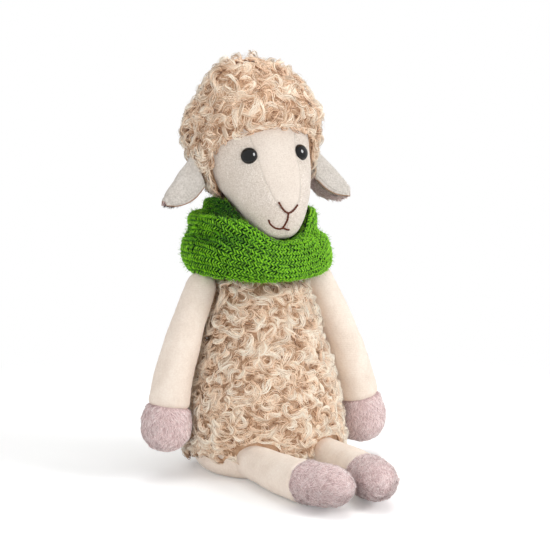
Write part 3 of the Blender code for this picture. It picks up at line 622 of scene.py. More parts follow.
def makePile(name, body, grid, around, settings, seed):
    rng = np.random.default_rng(seed)
    places, normals, along = scatter(grid, around, settings["hairs"], rng)
    count, side = len(places), np.cross(normals, along)
    swirl = settings["swirl"] * (ripple(places, 0.008, seed + 7) * 0.8 + rng.normal(0, 0.25, count))
    way = unit(along * (settings["combed"] * np.cos(swirl))[:, None] + side * np.sin(swirl)[:, None])
    length = settings["length"] * rng.uniform(0.6, 1.15, count)
    rise = settings["lean"] * rng.uniform(0.6, 1.5, count)
    bend = rng.normal(0, 0.35, count)
    steps = np.linspace(0, 1, 4)
    turned = unit(way[:, None] + side[:, None] * (bend[:, None] * steps)[..., None])
    height = rise[:, None] * np.sin(steps * 2.2) * length[:, None]
    paths = places[:, None] + turned * (steps * length[:, None])[..., None] * 0.9 + normals[:, None] * height[..., None]
    paths = paths - normals[:, None] * 0.0002
    radii = settings["radius"] * (1 - 0.75 * steps ** 2) * rng.uniform(0.8, 1.2, (count, 1))
    paths[..., 2] = np.maximum(paths[..., 2], settings["radius"])
    points, quads = sweepStrands(paths, radii, np.repeat(normals[:, None], 4, 1), 3)
    own = np.repeat(rng.random(count), 12)
    # painted shade: each hair is drawn darker at its root and paler towards its tip
    shadeDepth = np.clip(np.tile(steps, count) * 0.7 + 0.3 * np.repeat(rng.random(count), 4), 0.02, 0.98)
    outward = np.repeat(unit(normals + rng.normal(0, 0.32, normals.shape))[:, None], 4, 1)
    tones = np.stack((own, np.repeat(shadeDepth, 3)), -1)
    piece = makeMesh(name, points, quads, plushMaterial, tones, strandNormals(points, paths, outward))
    piece.visible_shadow = False
    attach(piece, body)


for key, grid in hooves.items():
    away = grid - grid.mean(axis=1, keepdims=True)
    makePile(key + "_hoof_pile", key, facing(grid, away), True, pile, pile["seeds"][key])
print("hoof pile made")


# Ears: velour outside, plush lining inside the fold

ear = {"rootHeight": 0.1872, "rootBack": 0.017, "rootSpread": 0.03882, "tip": (0.0598, 0.012, 0.1608),
       "frontFlap": 0.0185, "rearFlaps": {"left": 0.0250, "right": 0.0195}, "cloth": 0.0012, "lining": 0.0016, "gap": 0.0003,
       "frontLean": radians(24), "rearLean": radians(14), "tuck": radians(12), "fold": 0.14,
       "flapShares": {"left": ((0.0, 1.00), (0.25, 0.98), (0.50, 0.84), (0.75, 0.58), (0.92, 0.36), (1.0, 0.26)),
                      "right": ((0.0, 1.00), (0.25, 0.97), (0.50, 0.82), (0.75, 0.54), (0.92, 0.26), (1.0, 0.12))},
       "edgeRadius": 0.00036, "plumpWidth": 0.0012, "stitchFromEdge": 0.0017, "stitchWidth": 0.0004, "stitchDepth": 0.00035,
       "pile": {"hairs": 5600, "length": 0.0024, "radius": 0.00014, "lean": 0.45, "swirl": 0.7, "combed": 0.6}}
flapShare = {word: curveThrough(shares) for word, shares in ear["flapShares"].items()}


def earPlace(side, along, over):
    root = np.array((side * ear["rootSpread"], ear["rootBack"], ear["rootHeight"] - ear["cloth"] - ear["lining"] - ear["gap"]))
    tip = np.array((side * ear["tip"][0], ear["tip"][1], ear["tip"][2]))
    ridge = mix(root, tip, along[..., None])
    front = over < 0
    word = "left" if side > 0 else "right"
    flap = np.where(front, ear["frontFlap"], ear["rearFlaps"][word]) * flapShare[word](along)
    angle = np.where(front, ear["frontLean"], ear["rearLean"])
    down = np.sqrt(over ** 2 + ear["fold"] ** 2) - ear["fold"]
    inward = -side * sin(ear["tuck"]) * np.where(front, down, 0)
    return ridge + flap[..., None] * np.stack((inward, over * np.sin(angle), -down * np.cos(angle)), -1)


def earSkin(side, along, over, lift):
    small = 0.005
    back = np.maximum(along - small, 0)
    run = earPlace(side, back + small, over) - earPlace(side, back, over)
    across = earPlace(side, along, over + small) - earPlace(side, along, over - small)
    return earPlace(side, along, over) - side * unit(np.cross(across, run)) * np.asarray(lift)[..., None]


def rims(outer, inner):  # closes the edges between two sheets
    return ([np.stack((outer[:, k], inner[:, k]), 1) for k in (0, -1)]
            + [np.stack((outer[k], inner[k]), 1) for k in (0, -1)])


def makeEar(side, word):
    along, over = np.meshgrid(np.linspace(0, 1, 60), np.linspace(-1, 1, 90), indexing="ij")
    edge = np.minimum(1 - np.abs(over), 1 - along) * 0.018
    plump = 1 - np.exp(-edge / ear["plumpWidth"])
    lumps = 0.00025 * ripple(earPlace(side, along, over), 0.011, 90 + side)
    stitchDip = -ear["stitchDepth"] * np.exp(-((edge - ear["stitchFromEdge"]) / ear["stitchWidth"]) ** 2)
    outside = earSkin(side, along, over, ear["lining"] + ear["gap"] + ear["cloth"] * mix(0.25, 1.0, plump) + lumps + stitchDip)
    under = earSkin(side, along, over, ear["lining"] + ear["gap"] + lumps * 0.5)
    piece = joinGrids(word + "_ear_velour", [outside, under, *rims(outside, under)], earVelour)
    attach(piece, word + "_ear", word + "_ear_outer")
    fields = (outside + under) / 2, unit(outside - under)
    # painted shade: a brown tube round the ear's rim stands for the dark line of shade where the outer cloth meets the
    # lining
    path, ups = (np.concatenate((field[3:, 0], field[-1, 3:-3:3], field[:2:-1, -1]))[None] for field in fields)
    fromTip = np.linalg.norm(path - path[:, len(path[0]) // 2:len(path[0]) // 2 + 1], axis=-1)
    points, quads = sweepStrands(path, ear["edgeRadius"] * mix(0.45, 1.0, smooth(fromTip, 0.002, 0.008)), ups, 6)
    piece = makeMesh(word + "_ear_edge", points, quads, earEdgeShade)
    attach(piece, word + "_ear")
    inside = earSkin(side, along, over * 0.985, 0 * along + 0.0004)
    top = earSkin(side, along, over * 0.985, 0 * along + ear["lining"])
    piece = joinGrids(word + "_ear_lining_backing", [inside, top, *rims(inside, top)], plushBacking)
    attach(piece, word + "_ear", word + "_ear_lining")
    makePile(word + "_ear_lining_pile", word + "_ear", facing(inside, inside - top), False, ear["pile"], 110 + side)


for side, word in ((1, "left"), (-1, "right")):
    makeEar(side, word)
print("ears made")


# Torso: seat panel, fleece backing and curls

torso = {"top": 0.116, "width": 0.095, "depth": 0.089, "hem": 0.011, "lean": radians(5.3),
         "outlineShares": ((0.00, 0.960), (0.14, 1.000), (0.26, 0.995), (0.36, 0.960), (0.48, 0.895), (0.60, 0.825),
                           (0.73, 0.742), (0.85, 0.668), (0.925, 0.610), (0.965, 0.550), (1.00, 0.460)),
         "seatFlatRadius": 0.032, "seatRimRadius": 0.0435, "backingDepth": 0.0042,
         "flare": {"turn": radians(-128), "width": radians(34), "top": 0.045, "rise": 0.0028},
         "hemLift": {"turns": (radians(-126), radians(-98), radians(40), radians(60)), "top": 0.026, "rise": 0.0085}}
torsoShare = curveThrough(torso["outlineShares"])


def torsoPlace(turn, height, lift):
    halfWidth = torso["width"] / 2 * torsoShare(height / torso["top"])
    halfDepth = halfWidth * torso["depth"] / torso["width"]
    return np.stack(((halfWidth + lift) * np.sin(turn), height * np.tan(torso["lean"]) - (halfDepth + lift) * np.cos(turn),
                     height + 0 * turn), -1)


def fleeceLift(turn, height):  # the fleece flares a little near the hem at the back right
    flare = torso["flare"]
    off = (turn - flare["turn"] + pi) % (2 * pi) - pi
    fading = np.exp(-(off / flare["width"]) ** 2) * smooth(flare["top"] - height, 0, flare["top"])
    return flare["rise"] * fading - torso["backingDepth"]


def makeSeat():
    rise = np.linspace(0, 1, 26)
    around = circle(96)
    top, flat, slope = torso["hem"] + 0.004, torso["seatFlatRadius"], np.tan(torso["lean"])
    height = np.concatenate(([0, 0], top * rise[1:] ** 1.6))
    roundOff = np.sqrt(1 - (1 - np.minimum(height[2:] / torso["hem"], 1)) ** 2)
    out = np.concatenate(([0, flat], mix(flat, torso["seatRimRadius"], roundOff)))[:, None]
    height = height[:, None]
    grid = np.stack((out * np.sin(around), height * slope - out * torso["depth"] / torso["width"] * np.cos(around),
                     height + 0 * around), -1)
    piece = joinGrids("seat_velour", [grid], velour, True)
    attach(piece, "torso", "seat_panel")


makeSeat()


def bodySurface(lowest, highest):
    turns, heights = np.meshgrid(circle(160), np.linspace(lowest, highest, 110), indexing="xy")
    return torsoPlace(turns, heights, fleeceLift(turns, heights))


bodyBase = bodySurface(torso["hem"] - 0.001, torso["top"] + 0.001)
bodyBase = raised(bodyBase, 0.0008 * ripple(bodyBase, 0.011, 150))
piece = joinGrids("body_fleece_backing", [bodyBase], fleeceBacking, True)
attach(piece, "torso", "body_fleece")

cap = {"middle": (0, 0.012, 0.192), "overhang": 0.06,
       "swells": (((-0.75, 0.35, 0.55), 0.50, -0.0050), ((0.75, 0.35, 0.55), 0.45, -0.0036), ((0.05, 0.2, 1.0), 0.40, -0.0016),
                  ((0.88, -0.36, 0.12), 0.50, 0.0030), ((-0.80, -0.30, 0.05), 0.45, 0.0012), ((0.0, -0.90, 0.42), 0.40, 0.0010),
                  ((-0.34, 0.16, 0.93), 0.32, 0.0020), ((0.23, -0.11, 0.97), 0.26, -0.0012),
                  ((0.71, -0.35, 0.62), 0.36, 0.0036), ((-0.87, 0.42, 0.24), 0.30, 0.0044))}


def capSwell(points):  # where the cap stands fuller or flatter than an even layer
    ways = unit(points - np.array(cap["middle"]))
    total = np.zeros(points.shape[:-1])
    for way, width, rise in cap["swells"]:
        total += rise * np.exp(-(np.linalg.norm(ways - unit(np.array(way)), axis=-1) / width) ** 2)
    return total


def capSurface(lowest):
    turns, ups = np.meshgrid(circle(160), np.linspace(lowest, 1, 100), indexing="xy")
    base = headPlace(turns, mix(hairlineLevel(turns), 1, ups))
    lift = (head["capRise"] - torso["backingDepth"]) * smooth(ups, 0, 0.06) + capSwell(base) * smooth(ups, 0, 0.12)
    base = headSkin(turns, mix(hairlineLevel(turns), 1, ups), lift)
    return raised(base, 0.0008 * ripple(base, 0.011, 160) * smooth(ups, 0, 0.1))


capBase = capSurface(0)
piece = joinGrids("cap_fleece_backing", [capBase], fleeceBacking, True)
attach(piece, "head", "head_fleece")
print("fleece backing made")


# Curls: each lock is a loose twist of strands that leaves the backing, bends round and lies down again

curls = {"strands": 11, "steps": 8, "length": (0.0080, 0.0165), "bend": (0.9, 4.4), "width": (0.0012, 0.0023),
         "height": (0.0004, 0.0050), "radius": 0.00021, "twist": 1.8, "inset": 0.0006, "tallest": 0.0062}
fringe = {"count": 1500, "spacing": 0.0026, "length": (0.0060, 0.0120), "bend": (0.3, 2.6), "height": (0.0016, 0.0042)}
frizz = {"hang": 0.2, "steps": 6, "length": (0.0040, 0.0090), "bend": (1.0, 5.0), "height": (0.0020, 0.0052), "radius": 0.00008}
fleeces = {
    "body": {"spacing": 0.0026, "tries": 19000, "frizz": 4200, "seed": 170, "hang": 0.5, "parts": 6,
             "edgeRows": 6, "paintedShade": 0.0},
    "cap": {"spacing": 0.0026, "tries": 11000, "frizz": 3200, "seed": 180, "hang": 0.35, "parts": 4,
            "edgeRows": 5, "paintedShade": 0.12}}


def layPaths(places, normals, tree, settings, rng, hang):  # curved paths that follow the backing
    count, steps = len(places), settings["steps"]
    down = unit(np.array((0, 0, -1.0)) + normals * normals[:, 2:])
    across = np.cross(normals, down)
    angle = rng.uniform(-pi, pi, count) * mix(1, 0.5, hang)
    length = rng.uniform(*settings["length"], count)
    bend = rng.uniform(*settings["bend"], count) * rng.choice((-1, 1), count)
    t = np.linspace(0, 1, steps)
    heading = angle[:, None] + bend[:, None] * (t - 0.25) + 0.45 * np.sin(t * 2 * pi + rng.uniform(0, 6, (count, 1)))
    stride = (length / (steps - 1))[:, None]
    u = np.cumsum(np.cos(heading) * stride, axis=1) - np.cos(heading[:, :1]) * stride
    v = np.cumsum(np.sin(heading) * stride, axis=1) - np.sin(heading[:, :1]) * stride
    flat = places[:, None] + down[:, None] * u[..., None] + across[:, None] * v[..., None]
    centre, up = np.empty_like(flat), np.empty_like(flat)
    for i in range(count):
        for j in range(steps):
            centre[i, j], up[i, j] = tree.find_nearest(flat[i, j])[:2]
    up = unit(up + np.roll(up, 1, axis=1) * 0.5 + normals[:, None])
    return centre, up, t


def growCurls(places, normals, tree, settings, rng, hang):
    count, steps, strands = len(places), settings["steps"], settings["strands"]
    centre, up, t = layPaths(places, normals, tree, settings, rng, hang)
    tall = rng.uniform(*settings["height"], count)[:, None]
    tipLift = rng.uniform(0.0, 1.0, (count, 1)) ** 1.4
    arch = np.sin(pi * np.clip(t * 0.92 + 0.04, 0, 1)) ** 0.6
    lift = tall * (arch * (1 - tipLift * t ** 2) + tipLift * t ** 2 * rng.uniform(0.7, 1.1, (count, 1)))
    side = unit(np.cross(up, unit(np.gradient(centre, axis=1))))
    width = rng.uniform(*settings["width"], count)[:, None] * (0.30 + 0.70 * np.sin(pi * np.clip(t * 0.95 + 0.02, 0, 1)) ** 0.6)
    twist = rng.normal(0, settings["twist"], (count, 1)) * t
    paths, outs = np.empty((count, strands, steps, 3)), np.empty((count, strands, steps, 3))
    heights = np.empty((count, strands, steps))
    rows = np.arange(count)[:, None]
    for k in range(strands):
        spot = t * rng.uniform(0.68, 1.0, (count, 1)) * (steps - 1)
        low = np.minimum(spot.astype(int), steps - 2)
        part = (spot - low)[..., None]

        def pick(field):
            return field[rows, low] * (1 - part) + field[rows, low + 1] * part

        angle = 2 * pi * k / strands + rng.normal(0, 0.3, (count, 1)) + twist
        out = np.sqrt((k % 4 + 0.6) / 4) + 0.20 * np.sin(t * rng.uniform(4, 10, (count, 1)) + rng.uniform(0, 6, (count, 1)))
        high = lift + width * 0.62 * (1 + out * np.sin(angle)) + rng.normal(0, 0.0002, (count, 1))
        paths[:, k] = pick(centre) + pick(side) * (width * out * np.cos(angle))[..., None] + pick(up) * high[..., None]
        # strands on the underside of a lock count as lying lower, so they get more painted shade
        heights[:, k] = high - settings["inset"] * (1 - np.sin(angle))
        outs[:, k] = unit(pick(up) * (0.8 + 0.6 * np.sin(angle))[..., None] + pick(side) * (0.7 * np.cos(angle))[..., None])
    taper = 0.50 + 0.50 * np.sin(pi * np.clip(t * 0.9 + 0.05, 0, 1))
    radii = settings["radius"] * taper * rng.uniform(0.7, 1.25, (count, strands, 1))
    tone = np.clip(0.35 * rng.random((count, 1)) + 0.65 * rng.random((count, strands)), 0.01, 0.99)
    return paths, radii, np.repeat(up[:, None], strands, 1), heights, tone, outs


def growFrizz(places, normals, tree, settings, rng, hang):  # single loose hairs over the curls
    centre, up, t = layPaths(places, normals, tree, settings, rng, hang)
    count = len(places)
    high = rng.uniform(*settings["height"], (count, 1)) + t * rng.uniform(-0.0012, 0.0026, (count, 1))
    radii = settings["radius"] * np.ones((count, 1, 1)) * (1 - 0.5 * t)
    return (centre + up * high[..., None])[:, None], radii, up[:, None], high[:, None], rng.random((count, 1)), up[:, None]


def clearOf(points, axes):  # pushes points out of the limbs, whose axes are point lists with radii
    for path, radius in axes:
        flat = points.reshape(-1, 3)
        nearest = np.full(len(flat), 1e9)
        centre = np.zeros_like(flat)
        for spot in path:
            distance = np.linalg.norm(flat - spot, axis=1)
            closer = distance < nearest
            nearest[closer] = distance[closer]
            centre[closer] = spot
        inside = nearest < radius
        flat[inside] = centre[inside] + unit(flat[inside] - centre[inside]) * radius
        points = flat.reshape(points.shape)
    return points


def liftHem(points):  # the hem rides up where the thighs and the seat show
    hem = torso["hemLift"]
    turn = turnOf(points)
    start, full, easing, end = hem["turns"]
    share = smooth(turn, start, full) * (1 - smooth(turn, easing, end))
    height = np.maximum(points[..., 2], 0.0008)
    points[..., 2] = height + share * hem["rise"] * np.clip(1 - height / hem["top"], 0, 1)
    return points


limbAxes = []
for side, word in ((1, "left"), (-1, "right")):
    limbAxes.append((armPath(side, word)(np.linspace(0, 1, 60)), arm["wristRadius"] + 0.0004))
    limbAxes.append((legPath(side)(np.linspace(0, 1, 60)), leg["radius"] + 0.0004))


def makeCurls(name, body, grid, longer, keep, settings):  # longer also holds what hangs over the grid's edge
    rng = np.random.default_rng(settings["seed"])
    tree = BVHTree.FromPolygons(longer.reshape(-1, 3).tolist(), gridQuads(longer, True).tolist())
    layers = (
        (grid, settings["tries"], settings["spacing"], growCurls, curls, settings["hang"]),
        (grid[:settings["edgeRows"]], fringe["count"], fringe["spacing"], growCurls, {**curls, **fringe}, 1.0),
        (grid, settings["frizz"], 0, growFrizz, frizz, frizz["hang"]))
    groups = []
    for surface, tries, apart, grow, sizes, hang in layers:
        places, normals, _ = scatter(surface, True, tries, rng, apart)
        kept = keep(places)
        groups.append((turnOf(places[kept]), *grow(places[kept], normals[kept], tree, sizes, rng, hang)))
    parts = settings["parts"]
    cuts = np.concatenate(((-4,), np.quantile(groups[0][0], np.linspace(0, 1, parts + 1)[1:-1]), (4,)))
    for part in range(parts):
        tubes, uvs, shades = [], [], []
        for turns, paths, radii, ups, heights, tone, outs in groups:
            mine = (turns >= cuts[part]) & (turns < cuts[part + 1])
            steps = paths.shape[2]
            own = paths[mine].reshape(-1, steps, 3)
            if body == "torso":
                own = liftHem(clearOf(own, limbAxes))
            tube, faces = sweepStrands(own, radii[mine].reshape(len(own), -1), ups[mine].reshape(own.shape), 3)
            # painted shade: a strand is drawn darker the lower it lies above the backing
            shadeDepth = np.clip(heights[mine].reshape(len(own), -1) / curls["tallest"], 0.02, 0.98)
            # painted shade: on the cap each strand's own tone is lowered, so the cap is drawn darker against the
            # stronger light the top of the head catches
            shown = np.maximum(tone[mine].ravel() - settings["paintedShade"], 0.01)
            tubes.append((tube, faces))
            uvs.append(np.stack((np.repeat(shown, steps * 3), np.repeat(shadeDepth.ravel(), 3)), -1))
            shades.append(strandNormals(tube, own, outs[mine].reshape(own.shape)))
        points, quads = joined(tubes)
        piece = makeMesh(f"{name}_{part + 1}", points, quads, curlMaterial, np.concatenate(uvs), np.concatenate(shades))
        attach(piece, body)
        piece.visible_shadow = False
        print(piece.name, len(quads), "faces")


def freeOfLimbs(places):
    kept = np.ones(len(places), bool)
    for path, radius in limbAxes:
        nearest = np.min(np.linalg.norm(places[:, None] - path[None], axis=2), axis=1)
        kept &= nearest > radius - 0.001
    return kept


makeCurls("body_curls", "torso", bodyBase, bodySurface(-0.004, torso["top"]), freeOfLimbs, fleeces["body"])
makeCurls("cap_curls", "head", capBase, capSurface(-cap["overhang"]), lambda places: places[:, 2] > 0, fleeces["cap"])
print("curls made")


# Scarf: knitted stitches over a dark inner ring, whose dark green is painted shade in the gaps between them. Its
# columns of stitches run round the neck.

scarf = {
    "bottom": 0.1168, "radius": 0.0445, "foldRadius": 0.0385, "collarRightRadius": 0.0298, "collarLeftRadius": 0.0330,
    "innerRadius": 0.0235, "wall": 0.0018, "neckBack": 0.013, "hemDrop": 0.0010, "frontTurn": radians(30),
    "hemTurn": radians(60), "creaseDepth": 0.0032, "creaseWidth": 0.0042, "creaseShare": 1.05,
    "foldShares": ((-1.00, 1.44), (-0.64, 1.55), (-0.39, 1.60), (-0.22, 1.56), (-0.155, 1.40), (-0.085, 1.13),
                   (0.00, 1.04), (0.22, 1.03), (0.44, 1.04), (0.64, 1.12), (1.00, 1.44)),
    "collarShares": ((-1.00, 1.68), (-0.72, 1.70), (-0.56, 1.93), (-0.44, 2.03), (-0.36, 1.99), (-0.28, 1.76),
                     (-0.22, 1.48), (-0.165, 1.24), (-0.11, 1.05), (0.00, 0.97), (0.11, 1.04), (0.17, 1.17),
                     (0.25, 1.50), (0.33, 1.60), (0.50, 1.60), (0.72, 1.64), (1.00, 1.68)),
    "bulgeShares": ((0.08, 0.72), (0.22, 0.95), (0.38, 1.00), (0.54, 0.92), (0.70, 0.74), (0.86, 0.46), (0.97, 0.12)),
    "footShares": ((0.42, 0.00), (0.78, 0.02)), "liningShares": ((0.25, 0.65), (0.00, 0.30)),
    "columnWidth": 0.0029, "stitchLength": 0.0019, "yarnRadius": 0.00050, "inset": 0.0010, "wander": 0.10,
    "lumpRise": 0.0006, "lumpSize": 0.020, "reach": 0.78, "curve": 0.10, "drift": 0.22, "sway": 0.25,
    "yarnRise": 0.00010, "yarnBulge": 0.00080, "yarnScatter": 0.00016, "edgeFacing": -0.25, "underFacing": -0.8,
    "tone": 0.52, "tonePatches": 0.26, "toneScatter": 0.26, "foldShade": 0.45, "creaseShade": 0.30, "creaseFade": 0.0024,
    "foldTurns": (radians(-110), radians(-80), 0, radians(30)),
    "fuzz": {"count": 9000, "radius": 0.00008, "length": 0.0018, "lift": 0.0008, "rise": 0.0011, "depth": 0.9}}
foldShare, collarShare = curveThrough(scarf["foldShares"]), curveThrough(scarf["collarShares"])


def scarfSection(turn):
    turn = (turn + pi) % (2 * pi) - pi
    chinRise = head["bottom"] - scarf["bottom"]
    fold = scarf["bottom"] + chinRise * float(foldShare(turn / pi))
    collar = scarf["bottom"] + chinRise * float(collarShare(turn / pi))
    inner, outer, foldOut, wall = scarf["innerRadius"], scarf["radius"], scarf["foldRadius"], scarf["wall"]
    collarOut = mix(scarf["collarRightRadius"], scarf["collarLeftRadius"], (1 + sin(turn)) / 2)
    hem = scarf["bottom"] - scarf["hemDrop"] * (1 - float(smooth(abs(turn), scarf["frontTurn"], scarf["hemTurn"])))
    groove, top = fold - wall, collar - wall
    rows = [(inner, scarf["bottom"] + wall)]
    rows += [(mix(inner, outer, out), mix(hem, fold, share)) for out, share in scarf["footShares"]]
    rows += [(mix(foldOut, outer, bulge), mix(hem, fold, share)) for share, bulge in scarf["bulgeShares"]]
    rows += [(foldOut - wall, fold - wall / 4), (mix(collarOut, foldOut, 0.5), groove),
             (collarOut + wall, max(mix(groove, top, 0.5), groove - wall)), (collarOut + wall, max(top, groove - wall * 2)),
             (collarOut, collar), (collarOut - wall, top)]
    rows += [(mix(inner, collarOut, out), mix(scarf["bottom"], top, share)) for out, share in scarf["liningShares"]]
    crease = mix(scarf["bottom"], head["bottom"], scarf["creaseShare"])
    points = []
    for radius, level in rows:
        near = (level - crease) / scarf["creaseWidth"]
        dent = scarf["creaseDepth"] * max(1 - near * near, 0) * abs(sin(turn))
        radius -= dent if radius > foldOut else 0
        points.append((radius * sin(turn), scarf["neckBack"] - radius * cos(turn), level))
    return np.array(points)


def scarfSurface(turns, shares):  # a grid over the whole section, smooth both ways
    grid = np.empty((len(turns), len(shares), 3))
    for k, turn in enumerate(turns):
        rows = scarfSection(turn)
        rows = np.concatenate((rows, rows[:1]))
        for _ in range(2):  # rounds the corners
            fine = np.empty((len(rows) * 2 - 2, 3))
            fine[0::2] = rows[:-1] * 0.75 + rows[1:] * 0.25
            fine[1::2] = rows[:-1] * 0.25 + rows[1:] * 0.75
            rows = np.concatenate((fine, fine[:1]))
        along = sharesAlong(rows)
        for axis in range(3):
            grid[k, :, axis] = np.interp(shares, along, rows[:, axis])
    return grid


def makeScarfInside():
    surface = scarfSurface(circle(240), np.linspace(0, 1, 161))
    surface = np.concatenate((surface, surface[:1]))
    normals = -unit(np.cross(np.gradient(surface, axis=1), np.gradient(surface, axis=0)))
    middle = surface.mean(axis=1, keepdims=True)
    if np.mean(np.sum(normals * (surface - middle), axis=-1)) < 0:
        normals = -normals
    lumps = scarf["lumpRise"] * ripple(surface, scarf["lumpSize"], 200)
    lumps[-1] = lumps[0]
    surface = surface + normals * (lumps - scarf["inset"])[..., None]
    piece = joinGrids("scarf_inside", [surface], knitBacking)
    attach(piece, "scarf", "scarf")

    def sample(turnShare, sectionShare):  # a place and a normal, from shares of the turn and of the section
        x = (turnShare % 1) * (len(surface) - 1)
        y = np.clip(sectionShare, 0, 1) * (surface.shape[1] - 1)
        i, j = np.minimum(x.astype(int), len(surface) - 2), np.minimum(y.astype(int), surface.shape[1] - 2)
        fx, fy = (x - i)[..., None], (y - j)[..., None]

        def pick(field):
            near, far = (field[i, k] * (1 - fx) + field[i + 1, k] * fx for k in (j, j + 1))
            return near * (1 - fy) + far * fy
        return pick(surface), unit(pick(normals))
    return sample, np.linalg.norm(np.diff(surface[0], axis=0), axis=1).sum()


def scarfStitches(sample, sectionLength):  # where each leg of a stitch starts, and which way it leans
    columns = int(round(sectionLength / scarf["columnWidth"]))
    around = int(round(2 * pi * scarf["radius"] * 0.93 / scarf["stitchLength"]))
    stitch, column, flip = np.meshgrid(np.arange(around), np.arange(columns), (-1, 1), indexing="ij")
    u0 = ((stitch + 0.5 * (column % 2)) / around).ravel()
    v0 = ((column + 0.5) / columns).ravel()
    flip = flip.ravel()
    middles, ups = sample(u0, v0)
    out = np.stack((middles[:, 0], middles[:, 1] - scarf["neckBack"], 0 * u0), -1)
    hidden = (ups[:, 2] < scarf["underFacing"]) & (np.linalg.norm(out, axis=1) < scarf["foldRadius"])
    seen = (np.sum(unit(out) * ups, axis=1) > scarf["edgeFacing"]) & ~hidden
    return u0[seen], v0[seen], flip[seen], middles[seen], 1 / around, 0.5 / columns


def scarfShade(middles):  # how deep each stitch lies in the fold or in the crease, for painted shade there, and its side of the scarf, for painted light on the side towards the key lamp and painted shade on the other
    turn = turnOf(middles, scarf["neckBack"])
    inward = scarf["foldRadius"] - np.hypot(middles[:, 0], middles[:, 1] - scarf["neckBack"])
    start, full, easing, end = scarf["foldTurns"]
    inFold = smooth(inward, 0.001, 0.006) * smooth(turn, start, full) * (1 - smooth(turn, easing, end))
    crease = mix(scarf["bottom"], head["bottom"], scarf["creaseShare"])
    near = np.exp(-((middles[:, 2] - crease) / scarf["creaseFade"]) ** 2)
    inCrease = near * smooth(-np.sin(turn), 0.3, 0.9) * (inward < 0)
    return inFold, inCrease, 0.16 * np.sin(turn + radians(20))


def makeScarfStitches(sample, sectionLength, rng):
    u0, v0, flip, middles, du, dv = scarfStitches(sample, sectionLength)
    t = np.linspace(0, 1, 5)
    reach, wander, curve = scarf["reach"], scarf["wander"], scarf["curve"] * np.sin(2 * pi * t)
    drift = ripple(middles, 0.009, 220) * scarf["drift"]
    u = ((u0 + drift * du)[:, None] + du * (mix(-reach, reach, t) + curve)
         + rng.normal(0, wander * du, (len(u0), 1)))
    v = ((v0 + ripple(middles, 0.012, 221) * scarf["sway"] * dv)[:, None]
         + flip[:, None] * dv * (mix(1.0, 0.10, t) + curve) + rng.normal(0, wander * dv, (len(u0), len(t))))
    places, ups = sample(u, v)
    bulge = scarf["yarnRise"] + scarf["yarnBulge"] * np.sin(pi * t) ** 0.8
    paths = places + ups * (bulge + rng.normal(0, scarf["yarnScatter"], (len(u0), 1)))[..., None]
    radii = scarf["yarnRadius"] * (0.45 + 0.6 * np.sin(pi * t) ** 0.7) * rng.uniform(0.78, 1.18, (len(u0), 1))
    tone = scarf["tone"] + scarf["tonePatches"] * ripple(middles, 0.007, 222) + rng.normal(0, scarf["toneScatter"], len(u0))
    shaded, inCrease, sideLightAndShade = scarfShade(middles)
    # painted shade in the fold and the crease, and painted light and shade by the side of the scarf
    tone = np.clip(tone - scarf["foldShade"] * shaded - scarf["creaseShade"] * inCrease + sideLightAndShade, 0.01, 0.99)
    # painted shade: each leg of yarn is drawn darker at its ends and on its side towards the scarf, and darker again in
    # the fold and the crease
    ringHeight = np.tile(np.sin(circle(4)), len(u0) * len(t))
    shadeDepth = np.repeat(np.tile(np.sin(pi * t) ** 0.8, len(u0)), 4) * 0.55 + 0.22 * (ringHeight + 1)
    shadeDepth *= 1 - 0.45 * np.repeat(np.maximum(shaded, 0.8 * inCrease), len(t) * 4)
    uv = np.stack((np.repeat(tone, len(t) * 4), np.clip(shadeDepth, 0.02, 0.98)), -1).reshape(len(u0), -1, 2)
    half = len(u0) // 2
    for part, chosen in enumerate((slice(0, half), slice(half, None))):
        points, quads = sweepStrands(paths[chosen], radii[chosen], ups[chosen], 4)
        piece = makeMesh(f"scarf_stitches_{part + 1}", points, quads, yarnMaterial, uv[chosen].reshape(-1, 2))
        attach(piece, "scarf")
        print(piece.name, len(quads), "faces")


def makeFuzz(sample, rng):  # loose fibres of the yarn
    fuzz = scarf["fuzz"]
    count = fuzz["count"]
    across, along = rng.random(count), rng.random(count)
    starts, ups = sample(across, along)
    way = unit(rng.normal(size=(count, 3)))
    t = np.linspace(0, 1, 4)
    hairs = (starts[:, None] + ups[:, None] * (fuzz["lift"] + fuzz["rise"] * t)[None, :, None]
             + way[:, None] * (t * fuzz["length"])[None, :, None])
    radii = np.full((count, 4), fuzz["radius"]) * (1 - 0.6 * t)
    points, quads = sweepStrands(hairs, radii, np.repeat(ups[:, None], 4, 1), 3)
    uv = np.stack((np.repeat(rng.random(count), 12), np.full(count * 12, fuzz["depth"])), -1)
    piece = makeMesh("scarf_fuzz", points, quads, yarnMaterial, uv)
    attach(piece, "scarf")


sample, sectionLength = makeScarfInside()
rng = np.random.default_rng(210)
makeScarfStitches(sample, sectionLength, rng)
makeFuzz(sample, rng)
print("scarf made")


# Neck, mostly hidden by the scarf

neck = {"radius": 0.0132, "low": 0.1163, "ballHeight": 0.152, "ballRadius": 0.015, "back": 0.013}


def makeNeck():
    ball = neck["ballRadius"]
    low = acos(neck["radius"] / ball)
    angles = np.linspace(-low, pi / 2, 24)[1:]
    heights = np.concatenate((np.linspace(neck["low"], neck["ballHeight"] - ball * sin(low), 12),
                              neck["ballHeight"] + ball * np.sin(angles)))[:, None]
    out = np.concatenate((np.full(12, neck["radius"]), ball * np.cos(angles)))[:, None]
    around = circle(48)
    grid = np.stack((out * np.sin(around), neck["back"] - out * np.cos(around), heights + 0 * around), -1)
    piece = joinGrids("neck_velour", [grid], velour, True)
    attach(piece, "neck", "neck_sleeve")


makeNeck()
print("neck made")


# Inner pieces that stay hidden keep their solids, with a plain material of their own

